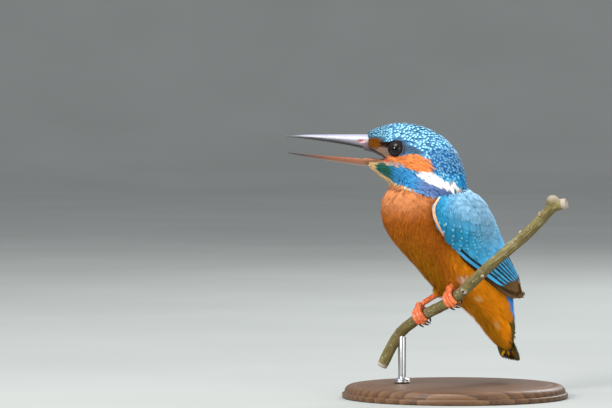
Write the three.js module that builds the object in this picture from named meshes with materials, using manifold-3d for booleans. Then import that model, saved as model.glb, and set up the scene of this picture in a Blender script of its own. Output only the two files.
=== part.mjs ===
// A common kingfisher at life size, perched on a cut length of twig.
//
// Millimetres, +Z up. The origin is the centre of the underside of the display base.
// The head points along -X, and the trunk is turned so that the breast comes round towards -Y.
// The body is modelled whole, as a trunk loft and a head loft, then parted with thin plane cuts.

import * as THREE from 'three';
import { LoftGeometry } from 'three/addons/geometries/LoftGeometry.js';
import { mergeVertices } from 'three/addons/utils/BufferGeometryUtils.js';
import Module from 'manifold-3d';

const wasm = await Module();
wasm.setup();

// ---------------------------------------------------------------- driving dimensions

const gap = 0.3; // between neighbouring solids
const farAway = 300; // size of the blocks that part the body

const base = { radius: 52, height: 6, bevel: 1.2, sides: 44 };
const rod = { radius: 1.8, collarRadius: 4, collarTop: 3.4, collarHeight: 2, sides: 16 };

const bodyTurn = THREE.MathUtils.degToRad( 35 ); // trunk heading, turned from -X towards -Y
const bodyCentre = new THREE.Vector3( - 4.6, 0, 0 );

// trunk stations from the neck to the end of the tail coverts:
// back and up place the centre in the trunk's own upright mid-plane, lean tilts the section,
// depth and width are half sizes
const trunkStations = [
	{ back: - 7.3, up: 104.0, lean: 0, depth: 9.0, width: 9.0 },
	{ back: - 11.5, up: 98.0, lean: 6, depth: 18.6, width: 16.2 },
	{ back: - 11.5, up: 90.2, lean: 18, depth: 21.8, width: 20.4 },
	{ back: - 5.0, up: 81.0, lean: 29, depth: 22.4, width: 21.6 },
	{ back: 3.2, up: 71.8, lean: 32, depth: 21.0, width: 21.0 },
	{ back: 13.2, up: 58.6, lean: 35, depth: 18.4, width: 18.4 },
	{ back: 23.0, up: 48.3, lean: 34, depth: 14.2, width: 14.4 },
	{ back: 29.0, up: 37.2, lean: 31, depth: 8.6, width: 10.2 },
	{ back: 33.6, up: 26.6, lean: 30, depth: 4.6, width: 8.0 },
	{ back: 36.4, up: 20.6, lean: 30, depth: 1.4, width: 5.0 },
];
const stationSpacing = 12; // about how far apart the trunk stations lie
const trunkRings = 24;
const trunkSides = 24;

// head stations from the bill to the neck: the lower and upper ends of each section,
// its half width, the side shift of its centre and its turn from the head's to the trunk's heading
const headShift = - 6;
const headStations = [
	{ lowX: - 40.9, lowZ: 106.2, topX: - 40.9, topZ: 122.0, width: 4.7, side: headShift, turn: 0 },
	{ lowX: - 38.8, lowZ: 105.0, topX: - 37.6, topZ: 124.2, width: 7.2, side: headShift, turn: 0 },
	{ lowX: - 35.2, lowZ: 102.2, topX: - 31.9, topZ: 126.1, width: 9.9, side: headShift, turn: 0 },
	{ lowX: - 31.9, lowZ: 99.4, topX: - 24.4, topZ: 127.0, width: 12.1, side: headShift, turn: 0 },
	{ lowX: - 28.7, lowZ: 96.6, topX: - 14.9, topZ: 125.3, width: 13.8, side: headShift, turn: 3 },
	{ lowX: - 25.8, lowZ: 93.8, topX: - 5.6, topZ: 120.8, width: 15.2, side: headShift, turn: 8 },
	{ lowX: - 23.5, lowZ: 90.6, topX: 0.8, topZ: 114.1, width: 16.8, side: - 5.5, turn: 16 },
	{ lowX: - 22.5, lowZ: 86.5, topX: 4.5, topZ: 105.8, width: 18.6, side: - 4.2, turn: 25 },
	{ lowX: - 20.7, lowZ: 83.7, topX: 6.2, topZ: 97.5, width: 19.8, side: - 2.6, turn: 32 },
	{ lowX: - 18.4, lowZ: 81.0, topX: 5.0, topZ: 91.1, width: 18.0, side: - 1.6, turn: 35 },
];
const headRings = 20;
const headSides = 22;
const cheekFullness = 0.1; // how much wider the cheeks are than the crown

// planes that part the body, each given by two points of its edge line seen from the side
const headNeckCut = { frontX: - 33, frontZ: 98.5, rearX: 0, rearZ: 115.5 };
const neckTrunkCut = { frontX: - 34, frontZ: 94.2, rearX: 7, rearZ: 96.6 };
const trunkRumpCut = { station: 6.2 };

const bill = {
	baseX: - 41.3, upperTipX: - 79.1, lowerTipX: - 76.8, culmenZ: 121.3,
	upperDepth: 5.4, upperFlare: 0.9, halfWidth: 4.3,
	lowerTipZ: 112.8, lowerBaseZ: 110.1, lowerDepth: 2.9,
	tipSize: 0.35, lowerLip: 0.15, culmenFall: 0.25, widthPower: 0.92, lowerPower: 0.85, flarePower: 6, rings: 9,
};
const mouth = {
	gapeX: - 31.2, gapeZ: 109.6, upperX: - 36.6, upperZ: 113.0, lipZ: 114.9, lowerZ: 110.0,
	curlX: 1.5, curlZ: 0.4, reach: 4, width: 40,
};

const eye = { x: - 27.3, z: 114.7, radius: 3.5, depth: 2.4, headStation: 2.72, segments: 12 };

// folded wing, from the bend to the tip: where it lies along the trunk stations, its lower and
// upper edges as angles round the trunk from the ridge of the back, its lift and its thickness
const wingStations = [
	{ along: 1.58, low: 99, high: 72, lift: 0.6, thick: 1.2 },
	{ along: 1.72, low: 109, high: 56, lift: 1.3, thick: 2.2 },
	{ along: 2.05, low: 116, high: 44, lift: 1.8, thick: 3.0 },
	{ along: 3.00, low: 120, high: 38, lift: 1.8, thick: 3.0 },
	{ along: 3.80, low: 121, high: 34, lift: 1.5, thick: 2.8 },
	{ along: 4.35, low: 116, high: 31, lift: 1.3, thick: 2.4 },
	{ along: 4.85, low: 107, high: 26, lift: 1.3, thick: 2.2 },
	{ along: 5.60, low: 98, high: 19, lift: 1.9, thick: 1.8 },
	{ along: 6.15, low: 88, high: 13, lift: 3.0, thick: 1.5 },
	{ along: 6.50, low: 68, high: 11, lift: 4.4, thick: 1.2 },
	{ along: 6.80, low: 44, high: 18, lift: 5.8, thick: 0.9 },
];
const wingRings = 17;
const wingSides = 9; // points along each face of a section
const wingEdge = { from: 0.12, to: 0.88, roundness: 0.6 }; // part of a half wave that its thickness follows

const tail = {
	rootBack: 28.0, rootUp: 40.0, tipBack: 41.0, tipUp: 15.8,
	rootHalfWidth: 5.5, halfWidth: 8.6, rootThickness: 2.0, tipThickness: 1.0, arch: 1.6, rounding: 2.6,
	lastRing: 0.8, rings: 8, sides: 8,
};

const twig = {
	radius: 2.65, sides: 10, steps: 34,
	route: [
		[ - 33.6, 12.0, 13.3 ], [ - 29.7, 10.8, 21.3 ], [ - 24.2, 8.2, 30.2 ], [ - 14.2, 2.0, 37.8 ],
		[ - 7.0, - 5.5, 42.1 ], [ - 0.4, - 14.0, 46.7 ], [ 6.3, - 18.8, 53.1 ], [ 15.2, - 23.5, 62.0 ],
		[ 28.6, - 28.5, 73.9 ], [ 38.0, - 31.5, 83.1 ], [ 42.9, - 33.0, 88.8 ], [ 49.6, - 35.0, 90.7 ],
	],
	knobAt: 0.945, knobSize: 3.3, knobRise: 2.4, knobSegments: 10,
	stubAt: 0.49, stubRadius: 2.1, stubEndRadius: 2.0, stubLength: 5.2, stubTilt: 0.6,
};

// feet: where each grips the twig, as a share of its length
const grip = {
	left: { at: 0.44, hip: [ 3.5, 1.5, 57.5 ] },
	right: { at: 0.262, hip: [ - 4.5, 6.0, 49.5 ] },
	toeRadius: 1.25, toeTaper: 0.22, toeSpacing: 2.0, toeMerge: 0.35, steps: 8, sides: 6,
	frontFrom: - 5, frontTo: [ 145, 165, 150 ], hindTo: - 92,
	ankleRadius: 1.8, ankleAngle: 12, ankleRise: 0.9, ankleSegments: 10,
	shankRadius: 1.3, shankTopRadius: 1.43, shankSides: 8,
	clawLength: 2.4, clawRadius: 0.6, clawTip: 0.26, clawBend: 0.8, clawSteps: 3, clawSides: 6,
};

const finishes = {
	crown: { color: 0x2f86c8, roughness: 0.55, metalness: 0 },
	nape: { color: 0x1f78b0, roughness: 0.55, metalness: 0 },
	breast: { color: 0xb9692a, roughness: 0.7, metalness: 0 },
	wing: { color: 0x2b8bbd, roughness: 0.5, metalness: 0 },
	rump: { color: 0xc07a22, roughness: 0.7, metalness: 0 },
	tail: { color: 0x2a4f86, roughness: 0.5, metalness: 0 },
	upperBill: { color: 0x2b2a30, roughness: 0.3, metalness: 0 },
	lowerBill: { color: 0x8a3f1d, roughness: 0.35, metalness: 0 },
	eye: { color: 0x14100e, roughness: 0.05, metalness: 0 },
	foot: { color: 0xe0521e, roughness: 0.5, metalness: 0 },
	claw: { color: 0x2a211d, roughness: 0.35, metalness: 0 },
	bark: { color: 0x776b3c, roughness: 0.8, metalness: 0 },
	base: { color: 0x6b4a2e, roughness: 0.45, metalness: 0 },
	steel: { color: 0xb9bcc0, roughness: 0.3, metalness: 1 },
};

// ---------------------------------------------------------------- small tools

const up = new THREE.Vector3( 0, 0, 1 );
const backwards = new THREE.Vector3( Math.cos( bodyTurn ), Math.sin( bodyTurn ), 0 );
const forwards = backwards.clone().negate();
const leftwards = new THREE.Vector3( Math.sin( bodyTurn ), - Math.cos( bodyTurn ), 0 );
const degrees = THREE.MathUtils.degToRad;

// the values of a table of stations at a fractional station number, smoothly interpolated
function stationAt( stations, t ) {

	const last = stations.length - 1;
	const i = Math.min( Math.floor( t ), last - 1 );
	const f = t - i;
	const near = ( k ) => stations[ THREE.MathUtils.clamp( i + k, 0, last ) ];
	const found = {};

	for ( const key of Object.keys( stations[ 0 ] ) ) {

		const [ a, b, c, d ] = [ near( - 1 )[ key ], near( 0 )[ key ], near( 1 )[ key ], near( 2 )[ key ] ];
		found[ key ] = 0.5 * ( 2 * b + ( c - a ) * f + ( 2 * a - 5 * b + 4 * c - d ) * f ** 2
			+ ( 3 * b - a - 3 * c + d ) * f ** 3 );

	}

	return found;

}

// a closed solid from a geometry, with its shared vertices merged
function solidOf( geometry ) {

	const bare = new THREE.BufferGeometry().copy( geometry );
	bare.deleteAttribute( 'normal' );
	bare.deleteAttribute( 'uv' );
	const merged = mergeVertices( bare, 1e-5 );
	const vertProperties = new Float32Array( merged.attributes.position.array );
	const triVerts = new Uint32Array( merged.index.array );
	return new wasm.Manifold( new wasm.Mesh( { numProp: 3, vertProperties, triVerts } ) );

}

// the biggest body of a solid, so that no sliver of a cut is kept
function mainBody( solid ) {

	const bodies = solid.decompose();
	return bodies.reduce( ( best, body ) => ( body.volume() > best.volume() ? body : best ) );

}

function meshOf( name, solid, finish ) {

	const { vertProperties, triVerts } = mainBody( solid ).getMesh();
	const geometry = new THREE.BufferGeometry();
	geometry.setAttribute( 'position', new THREE.BufferAttribute( new Float32Array( vertProperties ), 3 ) );
	geometry.setIndex( new THREE.BufferAttribute( new Uint32Array( triVerts ), 1 ) );
	geometry.computeVertexNormals();
	const mesh = new THREE.Mesh( geometry, new THREE.MeshStandardMaterial( finish ) );
	mesh.name = name;
	return mesh;

}

function loft( sections ) {

	return solidOf( new LoftGeometry( sections, { capStart: true, capEnd: true } ) );

}

// a round bar through a row of points, with its own radius at each
function bar( points, radii, sides ) {

	const curve = new THREE.CatmullRomCurve3( points );
	const frames = curve.computeFrenetFrames( points.length - 1 );
	const sections = points.map( ( point, i ) => {

		const ring = [];

		for ( let j = 0; j < sides; j ++ ) {

			const angle = - 2 * Math.PI * j / sides;
			ring.push( point.clone()
				.addScaledVector( frames.normals[ i ], radii[ i ] * Math.cos( angle ) )
				.addScaledVector( frames.binormals[ i ], radii[ i ] * Math.sin( angle ) ) );

		}

		return ring.reverse();

	} );
	return loft( sections );

}

function ball( centre, radius, segments ) {

	const geometry = new THREE.SphereGeometry( radius, segments, segments / 2 );
	return solidOf( geometry.translate( centre.x, centre.y, centre.z ) );

}

// everything on the side of a plane that its normal points to
function beyond( point, normal ) {

	const block = new THREE.BoxGeometry( farAway, farAway, farAway ).translate( 0, 0, farAway / 2 );
	block.applyQuaternion( new THREE.Quaternion().setFromUnitVectors( up, normal ) );
	return solidOf( block.translate( point.x, point.y, point.z ) );

}

// a solid parted in two by a plane, each half drawn back by half the gap
function parted( solid, point, normal ) {

	const ahead = point.clone().addScaledVector( normal, gap / 2 );
	const behind = point.clone().addScaledVector( normal, - gap / 2 );
	return [
		solid.intersect( beyond( ahead, normal ) ),
		solid.intersect( beyond( behind, normal.clone().negate() ) ),
	];

}

// ---------------------------------------------------------------- body

function placeInBody( back, height ) {

	return bodyCentre.clone().addScaledVector( backwards, back ).addScaledVector( up, height );

}

// a point of the trunk's surface: the angle runs from the ridge of the back over the left side
function trunkPoint( t, angle, lift = 0 ) {

	const { back, up: height, lean, depth, width } = stationAt( trunkStations, t );
	const ridge = backwards.clone().multiplyScalar( Math.cos( degrees( lean ) ) )
		.addScaledVector( up, Math.sin( degrees( lean ) ) );
	return placeInBody( back, height )
		.addScaledVector( ridge, Math.cos( angle ) * ( depth + lift ) )
		.addScaledVector( leftwards, Math.sin( angle ) * ( width + lift ) );

}

function trunkLoft() {

	const sections = [];

	for ( let i = 0; i <= trunkRings; i ++ ) {

		const t = ( trunkStations.length - 1 ) * i / trunkRings;
		const ring = [];
		for ( let j = 0; j < trunkSides; j ++ ) ring.push( trunkPoint( t, 2 * Math.PI * j / trunkSides ) );
		sections.push( ring );

	}

	return loft( sections );

}

// a ring of the head: an oval with fuller cheeks than crown
function headRing( t ) {

	const s = stationAt( headStations, t );
	const low = new THREE.Vector3( s.lowX, s.side, s.lowZ );
	const top = new THREE.Vector3( s.topX, s.side, s.topZ );
	const centre = low.clone().add( top ).multiplyScalar( 0.5 );
	const rise = top.clone().sub( low ).multiplyScalar( 0.5 );
	const turned = degrees( s.turn );
	const side = new THREE.Vector3( Math.sin( turned ), - Math.cos( turned ), 0 );
	const ring = [];

	for ( let j = 0; j < headSides; j ++ ) {

		const angle = 2 * Math.PI * j / headSides;
		const reach = s.width * Math.sin( angle ) * ( 1 - cheekFullness * Math.cos( angle ) );
		ring.push( centre.clone().addScaledVector( rise, Math.cos( angle ) ).addScaledVector( side, reach ) );

	}

	return ring;

}

function headLoft() {

	const sections = [];
	const last = headStations.length - 1;
	for ( let i = 0; i <= headRings; i ++ ) sections.push( headRing( last * i / headRings ) );
	return loft( sections );

}

// the open mouth, a wedge between the edges of the two jaws, right through the face
function mouthWedge() {

	const front = bill.baseX - mouth.reach;
	const curl = [ mouth.upperX + mouth.curlX, mouth.upperZ - mouth.curlZ ];
	const outline = new THREE.Shape();
	outline.moveTo( mouth.gapeX, mouth.gapeZ );
	outline.quadraticCurveTo( ...curl, mouth.upperX, mouth.upperZ );
	outline.lineTo( bill.baseX, mouth.lipZ );
	outline.lineTo( front, mouth.lipZ );
	outline.lineTo( front, mouth.lowerZ );
	outline.closePath();
	const extrusion = { depth: mouth.width, bevelEnabled: false, curveSegments: 4 };
	const wedge = new THREE.ExtrudeGeometry( outline, extrusion );
	return solidOf( wedge.rotateX( Math.PI / 2 ).translate( 0, mouth.width / 2 + headShift, 0 ) );

}

function eyeCentre( side ) {

	// the ring that passes through the eye's place gives how wide the head is there
	const socket = headRing( eye.headStation );
	const reach = Math.max( ...socket.map( ( p ) => Math.abs( p.y - headShift ) ) );
	return new THREE.Vector3( eye.x, headShift - side * ( reach - eye.depth ), eye.z );

}

function eyeball( side, extra = 0 ) {

	return ball( eyeCentre( side ), eye.radius + extra, eye.segments );

}

// ---------------------------------------------------------------- wings and tail

// a folded wing on the left (side 1) or the right (side -1), or the room that it needs
function foldedWing( side, extra = 0 ) {

	const sections = [];

	for ( let i = 0; i <= wingRings; i ++ ) {

		const s = stationAt( wingStations, ( wingStations.length - 1 ) * i / wingRings );
		const girth = stationAt( trunkStations, s.along ).width;
		const spare = THREE.MathUtils.radToDeg( extra / girth );
		const from = degrees( s.low + spare );
		const to = degrees( s.high - spare );
		const endwards = i === 0 ? - 1 : i === wingRings ? 1 : 0;
		const along = s.along + endwards * extra / stationSpacing;
		const ring = [];

		for ( let j = 0; j < 2 * wingSides; j ++ ) {

			const outer = j < wingSides;
			const f = ( outer ? j : 2 * wingSides - 1 - j ) / ( wingSides - 1 );
			const wave = Math.PI * THREE.MathUtils.lerp( wingEdge.from, wingEdge.to, f );
			const crown = Math.sin( wave ) ** wingEdge.roundness; // thins to both edges
			const middle = s.lift - s.thick / 2;
			const lift = middle + ( outer ? 1 : - 1 ) * ( s.thick * crown / 2 + extra );
			ring.push( trunkPoint( along, side * THREE.MathUtils.lerp( from, to, f ), lift ) );

		}

		sections.push( side > 0 ? ring.reverse() : ring );

	}

	return loft( sections );

}

function tailFan( extra = 0 ) {

	const root = placeInBody( tail.rootBack, tail.rootUp );
	const tip = placeInBody( tail.tipBack, tail.tipUp );
	const length = tip.clone().sub( root );
	const upperFace = leftwards.clone().cross( length ).normalize();
	if ( upperFace.z < 0 ) upperFace.negate();
	const sections = [];

	for ( let i = 0; i <= tail.rings; i ++ ) {

		const f = i / tail.rings;
		const spread = THREE.MathUtils.lerp( tail.rootHalfWidth, tail.halfWidth, Math.sqrt( f ) );
		const half = spread * ( i === tail.rings ? tail.lastRing : 1 ) + extra;
		const thickness = THREE.MathUtils.lerp( tail.rootThickness, tail.tipThickness, f ) + 2 * extra;
		const ring = [];

		for ( let j = 0; j < 2 * tail.sides; j ++ ) {

			const upper = j < tail.sides;
			const across = ( upper ? j : 2 * tail.sides - 1 - j ) / ( tail.sides - 1 ) * 2 - 1;
			const drawnBack = tail.rounding * across ** 2 * f ** 4;
			const height = ( upper ? 0.5 : - 0.5 ) * thickness - tail.arch * across ** 2 * f;
			ring.push( root.clone()
				.addScaledVector( length, f - drawnBack / length.length() )
				.addScaledVector( leftwards, across * half )
				.addScaledVector( upperFace, height ) );

		}

		sections.push( ring );

	}

	return loft( sections );

}

// ---------------------------------------------------------------- bill

// half sections of the bill, as shares of the half width and of the depth, outside to ridge
const upperBillSection = [ [ 1, 0 ], [ 1, 0.18 ], [ 0.86, 0.48 ], [ 0.6, 0.78 ], [ 0.3, 0.95 ], [ 0, 1 ] ];
const lowerBillSection = [ [ 1, 0 ], [ 0.98, 0.25 ], [ 0.8, 0.6 ], [ 0.5, 0.88 ], [ 0, 1 ] ];

function mandible( tipX, halfSection, edgeAt, depthAt, growth ) {

	const sections = [];

	for ( let i = 0; i <= bill.rings; i ++ ) {

		const f = i / bill.rings;
		const x = THREE.MathUtils.lerp( tipX, bill.baseX, f );
		const half = bill.tipSize + ( bill.halfWidth - bill.tipSize ) * f ** bill.widthPower;
		const placed = ( wide, deep ) => new THREE.Vector3(
			x, headShift + wide * half, edgeAt( f ) + growth * deep * depthAt( f ) );
		const oneSide = halfSection.map( ( [ wide, deep ] ) => placed( wide, deep ) );
		const otherSide = halfSection.slice( 0, - 1 ).reverse().map( ( [ wide, deep ] ) => placed( - wide, deep ) );
		const ring = [ ...oneSide, ...otherSide ];
		sections.push( growth > 0 ? ring : ring.reverse() );

	}

	return loft( sections );

}

function upperMandible() {

	const depthAt = ( f ) => bill.tipSize + bill.upperDepth * f + bill.upperFlare * f ** bill.flarePower;
	const edgeAt = ( f ) => bill.culmenZ - bill.culmenFall * ( 1 - f ) ** 2 - depthAt( f );
	return mandible( bill.upperTipX, upperBillSection, edgeAt, depthAt, 1 );

}

function lowerMandible() {

	const depthAt = ( f ) => bill.tipSize + bill.lowerLip + bill.lowerDepth * f ** bill.lowerPower;
	const edgeAt = ( f ) => THREE.MathUtils.lerp( bill.lowerTipZ, bill.lowerBaseZ, f );
	return mandible( bill.lowerTipX, lowerBillSection, edgeAt, depthAt, - 1 );

}

// ---------------------------------------------------------------- twig

const twigRoute = new THREE.CatmullRomCurve3( twig.route.map( ( p ) => new THREE.Vector3( ...p ) ) );

function roundSection( radius, sides ) {

	const outline = new THREE.Shape();

	for ( let j = 0; j < sides; j ++ ) {

		const angle = 2 * Math.PI * j / sides;
		const place = [ radius * Math.cos( angle ), radius * Math.sin( angle ) ];
		if ( j === 0 ) outline.moveTo( ...place );
		else outline.lineTo( ...place );

	}

	outline.closePath();
	return outline;

}

function twigBar( radius ) {

	return solidOf( new THREE.ExtrudeGeometry( roundSection( radius, twig.sides ), {
		steps: twig.steps, extrudePath: twigRoute, bevelEnabled: false,
	} ) );

}

function perch() {

	const knobPlace = twigRoute.getPointAt( twig.knobAt ).addScaledVector( up, twig.knobRise );
	const knob = ball( knobPlace, twig.knobSize, twig.knobSegments );
	const stubRoot = twigRoute.getPointAt( twig.stubAt );
	const stubEnd = stubRoot.clone().add( new THREE.Vector3( twig.stubTilt, - twig.stubLength, twig.stubTilt ) );
	const stub = bar( [ stubRoot, stubRoot.clone().lerp( stubEnd, 0.5 ), stubEnd ],
		[ twig.stubRadius, twig.stubRadius, twig.stubEndRadius ], twig.sides );
	return twigBar( twig.radius ).add( knob ).add( stub );

}

// ---------------------------------------------------------------- legs and feet

// directions at a place on the twig: along it, over its front and up through its top
function gripFrame( at ) {

	const centre = twigRoute.getPointAt( at );
	const along = twigRoute.getTangentAt( at );
	const front = forwards.clone().addScaledVector( along, - forwards.dot( along ) ).normalize();
	const top = along.clone().cross( front ).normalize();
	if ( top.z < 0 ) top.negate();
	return { centre, along, front, top };

}

// a point beside the twig, at an angle from its top over its front
function besideTwig( frame, offset, angle, radius ) {

	return frame.centre.clone().addScaledVector( frame.along, offset )
		.addScaledVector( frame.top, radius * Math.cos( angle ) )
		.addScaledVector( frame.front, radius * Math.sin( angle ) );

}

function toeRoute( frame, offset, from, to, radius ) {

	const points = [];

	for ( let i = 0; i <= grip.steps; i ++ ) {

		const f = i / grip.steps;
		const angle = degrees( THREE.MathUtils.lerp( from, to, f ) );
		points.push( besideTwig( frame, offset * Math.min( 1, grip.toeMerge + f ), angle, radius ) );

	}

	return points;

}

// each foot: three front toes side by side, a hind toe, and an ankle where they meet
function footPlan( sideName ) {

	const frame = gripFrame( grip[ sideName ].at );
	const radius = twig.radius + gap + grip.toeRadius;
	const toes = [ - 1, 0, 1 ].map( ( place, i ) => ( {
		name: [ 'outer', 'middle', 'inner' ][ i ],
		route: toeRoute( frame, place * grip.toeSpacing, grip.frontFrom, grip.frontTo[ i ], radius ),
	} ) );
	toes.push( { name: 'hind', route: toeRoute( frame, 0, 0, grip.hindTo, radius ) } );
	const ankle = besideTwig( frame, 0, degrees( grip.ankleAngle ), radius + grip.ankleRise );
	return { toes, ankle };

}

function foot( plan ) {

	let whole = ball( plan.ankle, grip.ankleRadius, grip.ankleSegments );

	for ( const toe of plan.toes ) {

		const radii = toe.route.map( ( _, i ) => grip.toeRadius * ( 1 - grip.toeTaper * i / grip.steps ) );
		whole = whole.add( bar( toe.route, radii, grip.sides ) );

	}

	return whole;

}

// a claw carries on from the end of its toe, curving a little harder
function claw( toe ) {

	const end = toe.route.at( - 1 );
	const heading = end.clone().sub( toe.route.at( - 2 ) ).normalize();
	const before = toe.route.at( - 2 ).clone().sub( toe.route.at( - 3 ) ).normalize();
	const bend = heading.clone().sub( before ).normalize();
	const points = [];
	const radii = [];

	for ( let i = 0; i <= grip.clawSteps; i ++ ) {

		const f = i / grip.clawSteps;
		points.push( end.clone().addScaledVector( heading, gap + grip.clawLength * f )
			.addScaledVector( bend, grip.clawBend * f ** 2 ) );
		radii.push( THREE.MathUtils.lerp( grip.clawRadius, grip.clawTip, f ) );

	}

	return bar( points, radii, grip.clawSides );

}

function shank( ankle, hip, extra = 0 ) {

	const away = hip.clone().sub( ankle ).normalize();
	const start = ankle.clone().addScaledVector( away, grip.ankleRadius + gap - extra );
	const end = hip.clone().addScaledVector( away, extra );
	const radius = grip.shankRadius + extra;
	const middle = start.clone().lerp( end, 0.5 );
	return bar( [ start, middle, end ], [ radius, radius, grip.shankTopRadius + extra ], grip.shankSides );

}

// ---------------------------------------------------------------- stand

function standBase() {

	const { radius, height, bevel } = base;
	const profile = [
		new THREE.Vector2( 0, 0 ), new THREE.Vector2( radius - bevel / 2, 0 ),
		new THREE.Vector2( radius, bevel / 2 ), new THREE.Vector2( radius, height - bevel ),
		new THREE.Vector2( radius - bevel, height ), new THREE.Vector2( 0, height ),
	];
	return solidOf( new THREE.LatheGeometry( profile, base.sides ).rotateX( Math.PI / 2 ) );

}

function standRod() {

	const place = new THREE.Vector3( ...twig.route[ 2 ] );
	const foot = base.height + gap;
	const tall = place.z - foot;
	const stem = new THREE.CylinderGeometry( rod.radius, rod.radius, tall, rod.sides );
	stem.rotateX( Math.PI / 2 ).translate( place.x, place.y, foot + tall / 2 );
	const collar = new THREE.CylinderGeometry( rod.collarTop, rod.collarRadius, rod.collarHeight, rod.sides );
	collar.rotateX( Math.PI / 2 ).translate( place.x, place.y, foot + rod.collarHeight / 2 );
	return solidOf( stem ).add( solidOf( collar ) ).subtract( twigBar( twig.radius + gap ) );

}

// ---------------------------------------------------------------- the whole bird

function cutPlane( { frontX, frontZ, rearX, rearZ } ) {

	const point = new THREE.Vector3( frontX, 0, frontZ );
	const normal = new THREE.Vector3( frontZ - rearZ, 0, rearX - frontX ).normalize();
	return [ point, normal ];

}

function rumpPlane() {

	const { back, up: height } = stationAt( trunkStations, trunkRumpCut.station );
	const next = stationAt( trunkStations, trunkRumpCut.station + 0.1 );
	const point = placeInBody( back, height );
	return [ point, point.clone().sub( placeInBody( next.back, next.up ) ).normalize() ];

}

const group = new THREE.Group();
const feet = { left: footPlan( 'left' ), right: footPlan( 'right' ) };
const hips = { left: new THREE.Vector3( ...grip.left.hip ), right: new THREE.Vector3( ...grip.right.hip ) };
const twigSolid = perch();

let flesh = trunkLoft().add( headLoft() ).subtract( mouthWedge() );
flesh = flesh.subtract( foldedWing( 1, gap ) ).subtract( foldedWing( - 1, gap ) ).subtract( tailFan( gap ) );
flesh = flesh.subtract( eyeball( 1, gap ) ).subtract( eyeball( - 1, gap ) );
flesh = flesh.subtract( shank( feet.left.ankle, hips.left, gap ) );
flesh = flesh.subtract( shank( feet.right.ankle, hips.right, gap ) );

const [ head, belowHead ] = parted( flesh, ...cutPlane( headNeckCut ) );
const [ neck, belowNeck ] = parted( belowHead, ...cutPlane( neckTrunkCut ) );
const [ trunk, rump ] = parted( belowNeck, ...rumpPlane() );

group.add( meshOf( 'stand_base', standBase(), finishes.base ) );
group.add( meshOf( 'stand_rod', standRod(), finishes.steel ) );
group.add( meshOf( 'perch', twigSolid, finishes.bark ) );
group.add( meshOf( 'head', head, finishes.crown ) );
group.add( meshOf( 'neck', neck, finishes.nape ) );
group.add( meshOf( 'trunk', trunk, finishes.breast ) );
group.add( meshOf( 'rump', rump, finishes.rump ) );
group.add( meshOf( 'tail', tailFan(), finishes.tail ) );
group.add( meshOf( 'bill_upper', upperMandible(), finishes.upperBill ) );
group.add( meshOf( 'bill_lower', lowerMandible(), finishes.lowerBill ) );

for ( const [ sideName, side ] of [ [ 'left', 1 ], [ 'right', - 1 ] ] ) {

	const plan = feet[ sideName ];
	group.add( meshOf( `eye_${ sideName }`, eyeball( side ), finishes.eye ) );
	group.add( meshOf( `wing_${ sideName }`, foldedWing( side ), finishes.wing ) );
	group.add( meshOf( `leg_${ sideName }`, shank( plan.ankle, hips[ sideName ] ), finishes.foot ) );
	group.add( meshOf( `foot_${ sideName }`, foot( plan ), finishes.foot ) );

	for ( const toe of plan.toes ) {

		group.add( meshOf( `claw_${ sideName }_${ toe.name }`, claw( toe ), finishes.claw ) );

	}

}

export default group;
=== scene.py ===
"""A common kingfisher at life size on its display perch: the looks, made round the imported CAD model."""

import math

import bmesh
import bpy
import numpy as np
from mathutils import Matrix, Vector, kdtree, noise
from mathutils.bvhtree import BVHTree


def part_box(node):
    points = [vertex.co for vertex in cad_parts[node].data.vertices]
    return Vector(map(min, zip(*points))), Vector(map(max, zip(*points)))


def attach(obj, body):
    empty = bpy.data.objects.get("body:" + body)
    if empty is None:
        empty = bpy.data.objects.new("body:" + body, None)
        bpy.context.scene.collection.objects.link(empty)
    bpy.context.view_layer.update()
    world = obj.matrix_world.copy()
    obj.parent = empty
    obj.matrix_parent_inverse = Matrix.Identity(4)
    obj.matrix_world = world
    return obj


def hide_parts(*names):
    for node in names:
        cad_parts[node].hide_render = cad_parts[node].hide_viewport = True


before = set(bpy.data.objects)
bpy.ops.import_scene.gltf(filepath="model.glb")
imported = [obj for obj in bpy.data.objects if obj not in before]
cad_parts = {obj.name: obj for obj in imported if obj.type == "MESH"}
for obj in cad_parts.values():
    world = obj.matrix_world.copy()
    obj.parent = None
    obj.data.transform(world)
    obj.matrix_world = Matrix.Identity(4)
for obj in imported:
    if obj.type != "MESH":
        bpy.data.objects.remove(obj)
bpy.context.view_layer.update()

# ---------------------------------------------------------------- driving sizes, in millimetres

MM = 0.001  # Blender's metres in a millimetre

BODY_TURN = math.radians(35)  # heading of the trunk, away from the head's
FLESH = ["head", "neck", "trunk", "rump"]
SIDES = {"left": 1, "right": -1}  # the left side faces -Y
LEVEL = np.eye(3)[:2]  # the two level directions

# the grain of each remesh
SKIN_VOXEL = 0.6
WING_VOXEL = 0.5
FOOT_VOXEL = 0.24
TWIG_VOXEL = 0.4
CLAW_VOXEL = 0.09

SCUTES_ROUND = 24  # plates on a toe, if it went all the way round the twig
PATCH = 0.003  # each feather's size on the baking map
BARE_EYE = 3.15  # radius round the eye without feathers
BARE_ANKLE = 3.2  # radius round the upper end of the bare foot without feathers

# the camera's view: its width and distance, and what it aims at, from the bill's tip and the crown
VIEW = {"width": 281.5, "distance": 2200, "elevation": math.radians(2), "past_bill": 10.5,
        "under_crown": 37.8}

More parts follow.
